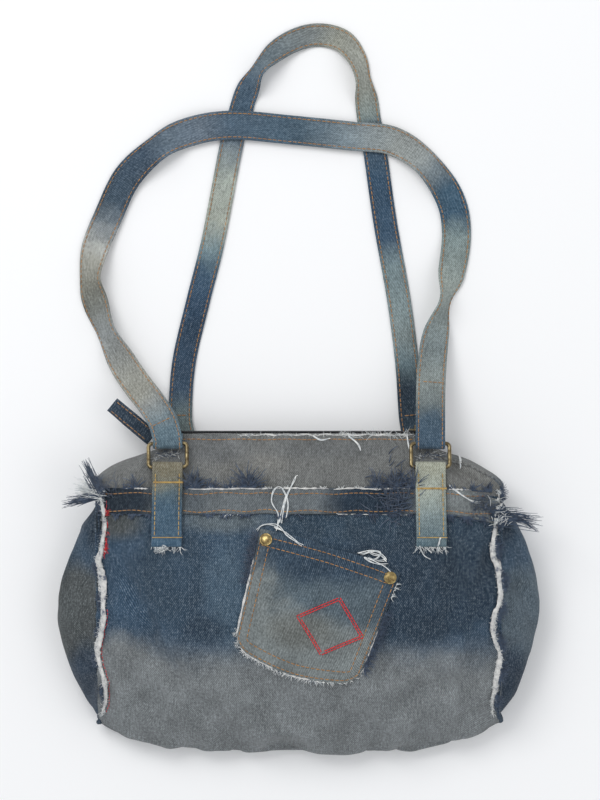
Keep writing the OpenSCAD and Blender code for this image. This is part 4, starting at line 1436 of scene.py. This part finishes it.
# White lines of cut weft along the band's edges and round the pocket
edging = bmesh.new()
for x0, x1, v in ((-0.090, -0.020, 0.02), (-0.018, 0.024, 0.0), (0.028, 0.090, 0.02), (0.030, 0.062, 0.98),
                  (0.066, 0.090, 1.0),
                  (0.121, 0.140, 0.02), (-0.140, -0.122, 0.01)):
    raw_strip(edging, edge_line([band_place(x0 + (x1 - x0) * i / 40, v) for i in range(41)], band_tree),
              lambda t: 0.0013 + 0.0005 * math.sin(t * 37), 0.0009, 6)
left_side = pocket_row(0.0001, 0.022)[:34]
for places, wide in ((left_side, 0.0022), (pocket_row(0.0001, 0.01)[33:46], 0.0016),
                     (pocket_row(0.0001, 0.01)[50:58], 0.0018),
                     (pocket_row(0.0001, 0.01)[76:88], 0.0013)):
    raw_strip(edging, edge_line(places, pocket_tree), lambda t: wide * (0.8 + 0.3 * math.sin(t * 29)),
              0.0012, 6)
raw_piece("band_and_pocket_edging", edging)

# ---------------------------------------------------------------- frayed tufts and loose threads
# Cut denim unravels into bunches: navy warp ends stand out at the band's two corners and along its
# edges, and a few long white weft threads trail over the pocket's corner and the yoke.


def tuft(threads, start, way, length, count, spread=0.25, wide=0.0015, curl=0.35, radius=0.00027, up=None):
    """A bunch of yarn ends that leave nearly the same spot and run much the same way."""
    for i in range(count):
        near = start + Vector((rng.gauss(0, wide), rng.gauss(0, wide), rng.gauss(0, wide * 0.4)))
        aim = way.normalized() + Vector((rng.gauss(0, spread), rng.gauss(0, spread),
                                         rng.gauss(0, spread * 0.5)))
        fray(threads, near, aim, length * rng.uniform(0.45, 1.05), curl, radius, up or Vector((0, 0, 1)))


def trail(threads, places, lift, radius, trees, sides=5):
    """One long loose thread lying over whatever is under it, smooth through the given places."""
    points = []
    for i in range(len(places) - 1):
        a, b, c, d = (Vector(places[max(0, min(len(places) - 1, k))]) for k in (i - 1, i, i + 1, i + 2))
        for k in range(7):
            f = k / 7
            p = 0.5 * (2 * b + (c - a) * f + (2 * a - 5 * b + 4 * c - d) * f * f
                       + (3 * b - a - 3 * c + d) * f ** 3)
            hit, up = on_top(p.x, p.y, *trees)
            if hit is not None:
                points.append(hit + up * (lift + radius))
    for _ in range(2):
        evened = [(points[i - 1] + points[i] * 2 + points[i + 1]) / 4 for i in range(1, len(points) - 1)]
        points = [points[0]] + evened + [points[-1]]
    threads.strand(points, radius, sides, 0.7)


tops = (band_tree, pocket_tree, *tab_trees)
ring_front_x = (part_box("front_right_tab")[0].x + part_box("front_right_tab")[1].x) / 2
left_corner = on_top(-half_width + 0.004, band_top_y - 0.006, band_tree)[0] + Vector((0, 0, 0.002))
right_corner = on_top(half_width - 0.006, band_top_y - 0.022, band_tree)[0] + Vector((0, 0, 0.002))
navy_corners = Threads()
tuft(navy_corners, left_corner, Vector((-0.5, 1, 0.12)), 0.031, 80, 0.05, 0.0018, 0.10, 0.00034)
tuft(navy_corners, left_corner + Vector((-0.002, 0, 0)), Vector((-1, -0.22, 0.0)), 0.028, 70, 0.05, 0.0016,
     0.10, 0.00034)
tuft(white_loose, left_corner + Vector((-0.002, 0.002, -0.001)), Vector((-1, 0.25, 0)), 0.020, 130, 0.13,
     0.0030, 0.12, 0.0003)
tuft(navy_corners, left_corner + Vector((0.006, 0.004, 0)), Vector((-0.4, 1, 0.2)), 0.010, 40, 0.5, 0.004,
     0.6)
tuft(navy_corners, right_corner, Vector((1, -0.10, 0.10)), 0.034, 100, 0.06, 0.0024, 0.12, 0.00034)
tuft(navy_corners, right_corner + Vector((0.020, -0.002, 0)), Vector((0.8, -0.55, 0.0)), 0.018, 24, 0.05,
     0.0008, 0.12)
tuft(navy_corners, right_corner + Vector((-0.012, 0.004, 0)), Vector((0.6, 0.5, 0.3)), 0.012, 120, 0.6,
     0.006, 0.8)
tuft(white_loose, right_corner + Vector((0.004, -0.002, 0.001)), Vector((0.5, 0.6, 0.3)), 0.010, 44, 0.5,
     0.004, 0.9)

# Fringe along the band: (from, to, top or low edge, how thick it is, length, navy or white)
fringe = [(-0.092, -0.030, 0, 230, 0.0110, navy_loose), (-0.050, -0.036, 0, 90, 0.0230, navy_loose),
          (-0.092, -0.082, 0, 70, 0.0190, navy_loose), (-0.142, -0.130, 0, 40, 0.0150, navy_loose),
          (0.054, 0.093, 0, 200, 0.0190, navy_loose), (-0.092, 0.092, 0, 220, 0.0040, white_loose),
          (-0.080, 0.000, 1, 190, 0.0065, navy_loose), (0.030, 0.092, 1, 130, 0.0050, navy_loose),
          (-0.150, -0.120, 1, 70, 0.0060, navy_loose), (0.120, 0.150, 1, 150, 0.0085, navy_loose),
          (-0.060, -0.045, 1, 26, 0.0050, white_loose), (0.120, 0.155, 0, 50, 0.0065, navy_loose),
          (0.140, 0.160, 0, 36, 0.0110, navy_loose)]
for x0, x1, low, count, length, threads in fringe:
    for i in range(count):
        x = x0 + (x1 - x0) * rng.random()
        px, py = band_place(x, 0.03 if not low else 0.97)
        hit, up = on_top(px, py, band_tree)
        way = Vector((rng.gauss(0, 0.55), -1 if low else 1, 0)) + up * 0.30
        bunch = 0.55 + 0.45 * math.sin(x * 420 + low)
        fray(threads, hit - up * 0.0003, way, length * bunch * rng.uniform(0.5, 1.1), 0.85,
             0.00052 if threads is navy_loose else 0.00027, up)
# A dense navy bunch beside the right tab, and the dark frayed strap end inside each ring
for i in range(170):
    x, y = 0.077 + rng.gauss(0, 0.007), -0.088 + rng.gauss(0, 0.011)
    hit, up = on_top(x, y, band_tree)
    if hit is None:
        continue
    fray(navy_loose, hit, Vector((rng.gauss(0, 1), rng.gauss(0.2, 1), 0)) + up * 0.35,
         rng.uniform(0.006, 0.015), 1.0, 0.00052, up)
for sign in (-1, 1):
    for i in range(60):
        x, y = sign * ring_front_x + rng.uniform(-0.010, 0.010), -0.0555 + rng.gauss(0, 0.0022)
        hit, up = on_top(x, y)
        if hit is None:
            continue
        fray(navy_loose if i % 3 else white_loose, hit + up * 0.0004,
             Vector((rng.gauss(0, 1), rng.gauss(0, 0.5), 0)),
             rng.uniform(0.003, 0.008), 0.7, up=up)

# Fuzz along the zip's edge of the yoke, and one line of stitches below that edge
for i in range(210):
    x = rng.uniform(-0.05, 0.096) if i % 3 else rng.uniform(0.028, 0.092)
    hit, up = on_top(x, top_y - 0.0012)
    fray(white_loose, hit, Vector((rng.gauss(0, 1), rng.uniform(-0.4, 0.9), 0.2)),
         rng.uniform(0.0015, 0.0045 if x < 0.03 else 0.008), 0.8)
raw_top = bmesh.new()
raw_strip(raw_top,
          edge_line([(-0.048 + 0.142 * i / 60,
                      top_y - 0.0009 + 0.0005 * math.sin(i * 0.9)) for i in range(61)]),
          lambda t: 0.0011 + 0.0006 * math.sin(t * 41), 0.0008, 6)
raw_piece("yoke_top_edging", raw_top)
yoke_sewn = Threads()
stitched(yoke_sewn,
         [(-0.096 + 0.192 * i / 80, top_y - 0.0046 + 0.0003 * math.sin(i * 0.4)) for i in range(81)], None)
yoke_sewn.finish("yoke_stitching", orange_thread, "bag", "raw_edge")

# Round the pocket: navy bunches at its right side and upper left corner, white fluff below
pocket_round = pocket_row(0.0001, 0.004)
for first, last_one, count, length, threads in (
        (0, 14, 240, 0.0100, navy_corners), (74, 92, 360, 0.0100, navy_corners),
        (28, 62, 160, 0.0048, white_loose),
        (36, 60, 60, 0.0036, navy_corners), (60, 76, 34, 0.0036, white_loose),
        (96, 101, 24, 0.005, white_loose)):
    for i in range(count):
        k = rng.randrange(first, last_one)
        x, y = pocket_round[k]
        hit, up = on_top(x, y, pocket_tree)
        before, after = pocket_round[max(0, k - 1)], pocket_round[min(len(pocket_round) - 1, k + 1)]
        run = Vector((after[0] - before[0], after[1] - before[1], 0)).normalized()
        out = Vector((run.y, -run.x, 0))
        fray(threads, hit + up * 0.0002, out * rng.uniform(0.2, 1) + run * rng.gauss(0, 0.8) + up * 0.25,
             length * rng.uniform(0.4, 1.1), 0.7, up=up)
long_white = Threads()
for places in ([(-0.016, -0.110), (-0.014, -0.101), (-0.010, -0.090), (-0.003, -0.076), (-0.001, -0.072)],
               [(-0.018, -0.116), (-0.017, -0.104), (-0.022, -0.094), (-0.019, -0.084), (-0.013, -0.082),
                (-0.009, -0.094), (-0.011, -0.108)],
               [(-0.014, -0.110), (-0.012, -0.097), (-0.008, -0.084), (-0.005, -0.079)],
               [(-0.034, -0.117), (-0.028, -0.112), (-0.018, -0.112), (-0.008, -0.121), (0.004, -0.129)],
               [(-0.020, -0.113), (-0.010, -0.117), (0.000, -0.126)],
               [(0.047, -0.134), (0.057, -0.132), (0.066, -0.134), (0.061, -0.139), (0.052, -0.136),
                (0.060, -0.142), (0.072, -0.143)],
               [(0.050, -0.135), (0.062, -0.133), (0.070, -0.138), (0.064, -0.141), (0.055, -0.138),
                (0.068, -0.144), (0.074, -0.149)],
               [(0.055, -0.132), (0.060, -0.1355), (0.067, -0.1365), (0.071, -0.142)],
               [(0.088, -0.040), (0.089, -0.048), (0.091, -0.055)],
               [(0.119, -0.049), (0.127, -0.052), (0.131, -0.058), (0.1315, -0.066)],
               [(0.121, -0.080), (0.129, -0.087), (0.140, -0.093), (0.148, -0.094)],
               [(0.160, -0.104), (0.168, -0.104), (0.174, -0.110)],
               [(0.097, -0.128), (0.101, -0.136), (0.106, -0.139)],
               [(0.114, -0.121), (0.113, -0.130), (0.116, -0.134)],
               [(-0.110, -0.128), (-0.106, -0.131), (-0.113, -0.134)],
               [(0.012, top_y - 0.002), (0.018, top_y - 0.006), (0.026, top_y - 0.004)],
               [(0.040, top_y - 0.002), (0.048, top_y - 0.008), (0.050, top_y - 0.015)]):
    for k in range(2):
        trail(long_white, [(x + rng.gauss(0, 0.0005), y + rng.gauss(0, 0.0005)) for x, y in places],
              0.0004 + 0.0005 * k,
              0.00042, tops)
long_white.finish("long_white_threads", white_fray, "bag", "raw_edge")
white_loose.finish("white_fringe", white_fray, "bag", "raw_edge")
navy_loose.finish("navy_fringe", navy_fray, "bag", "raw_edge")
navy_corners.finish("navy_corner_tufts", navy_fray, "bag", "raw_edge")

# ---------------------------------------------------------------- finish
# Every piece's place is tied to its CAD body; the bounds of all shown pieces are taken.
low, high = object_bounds()
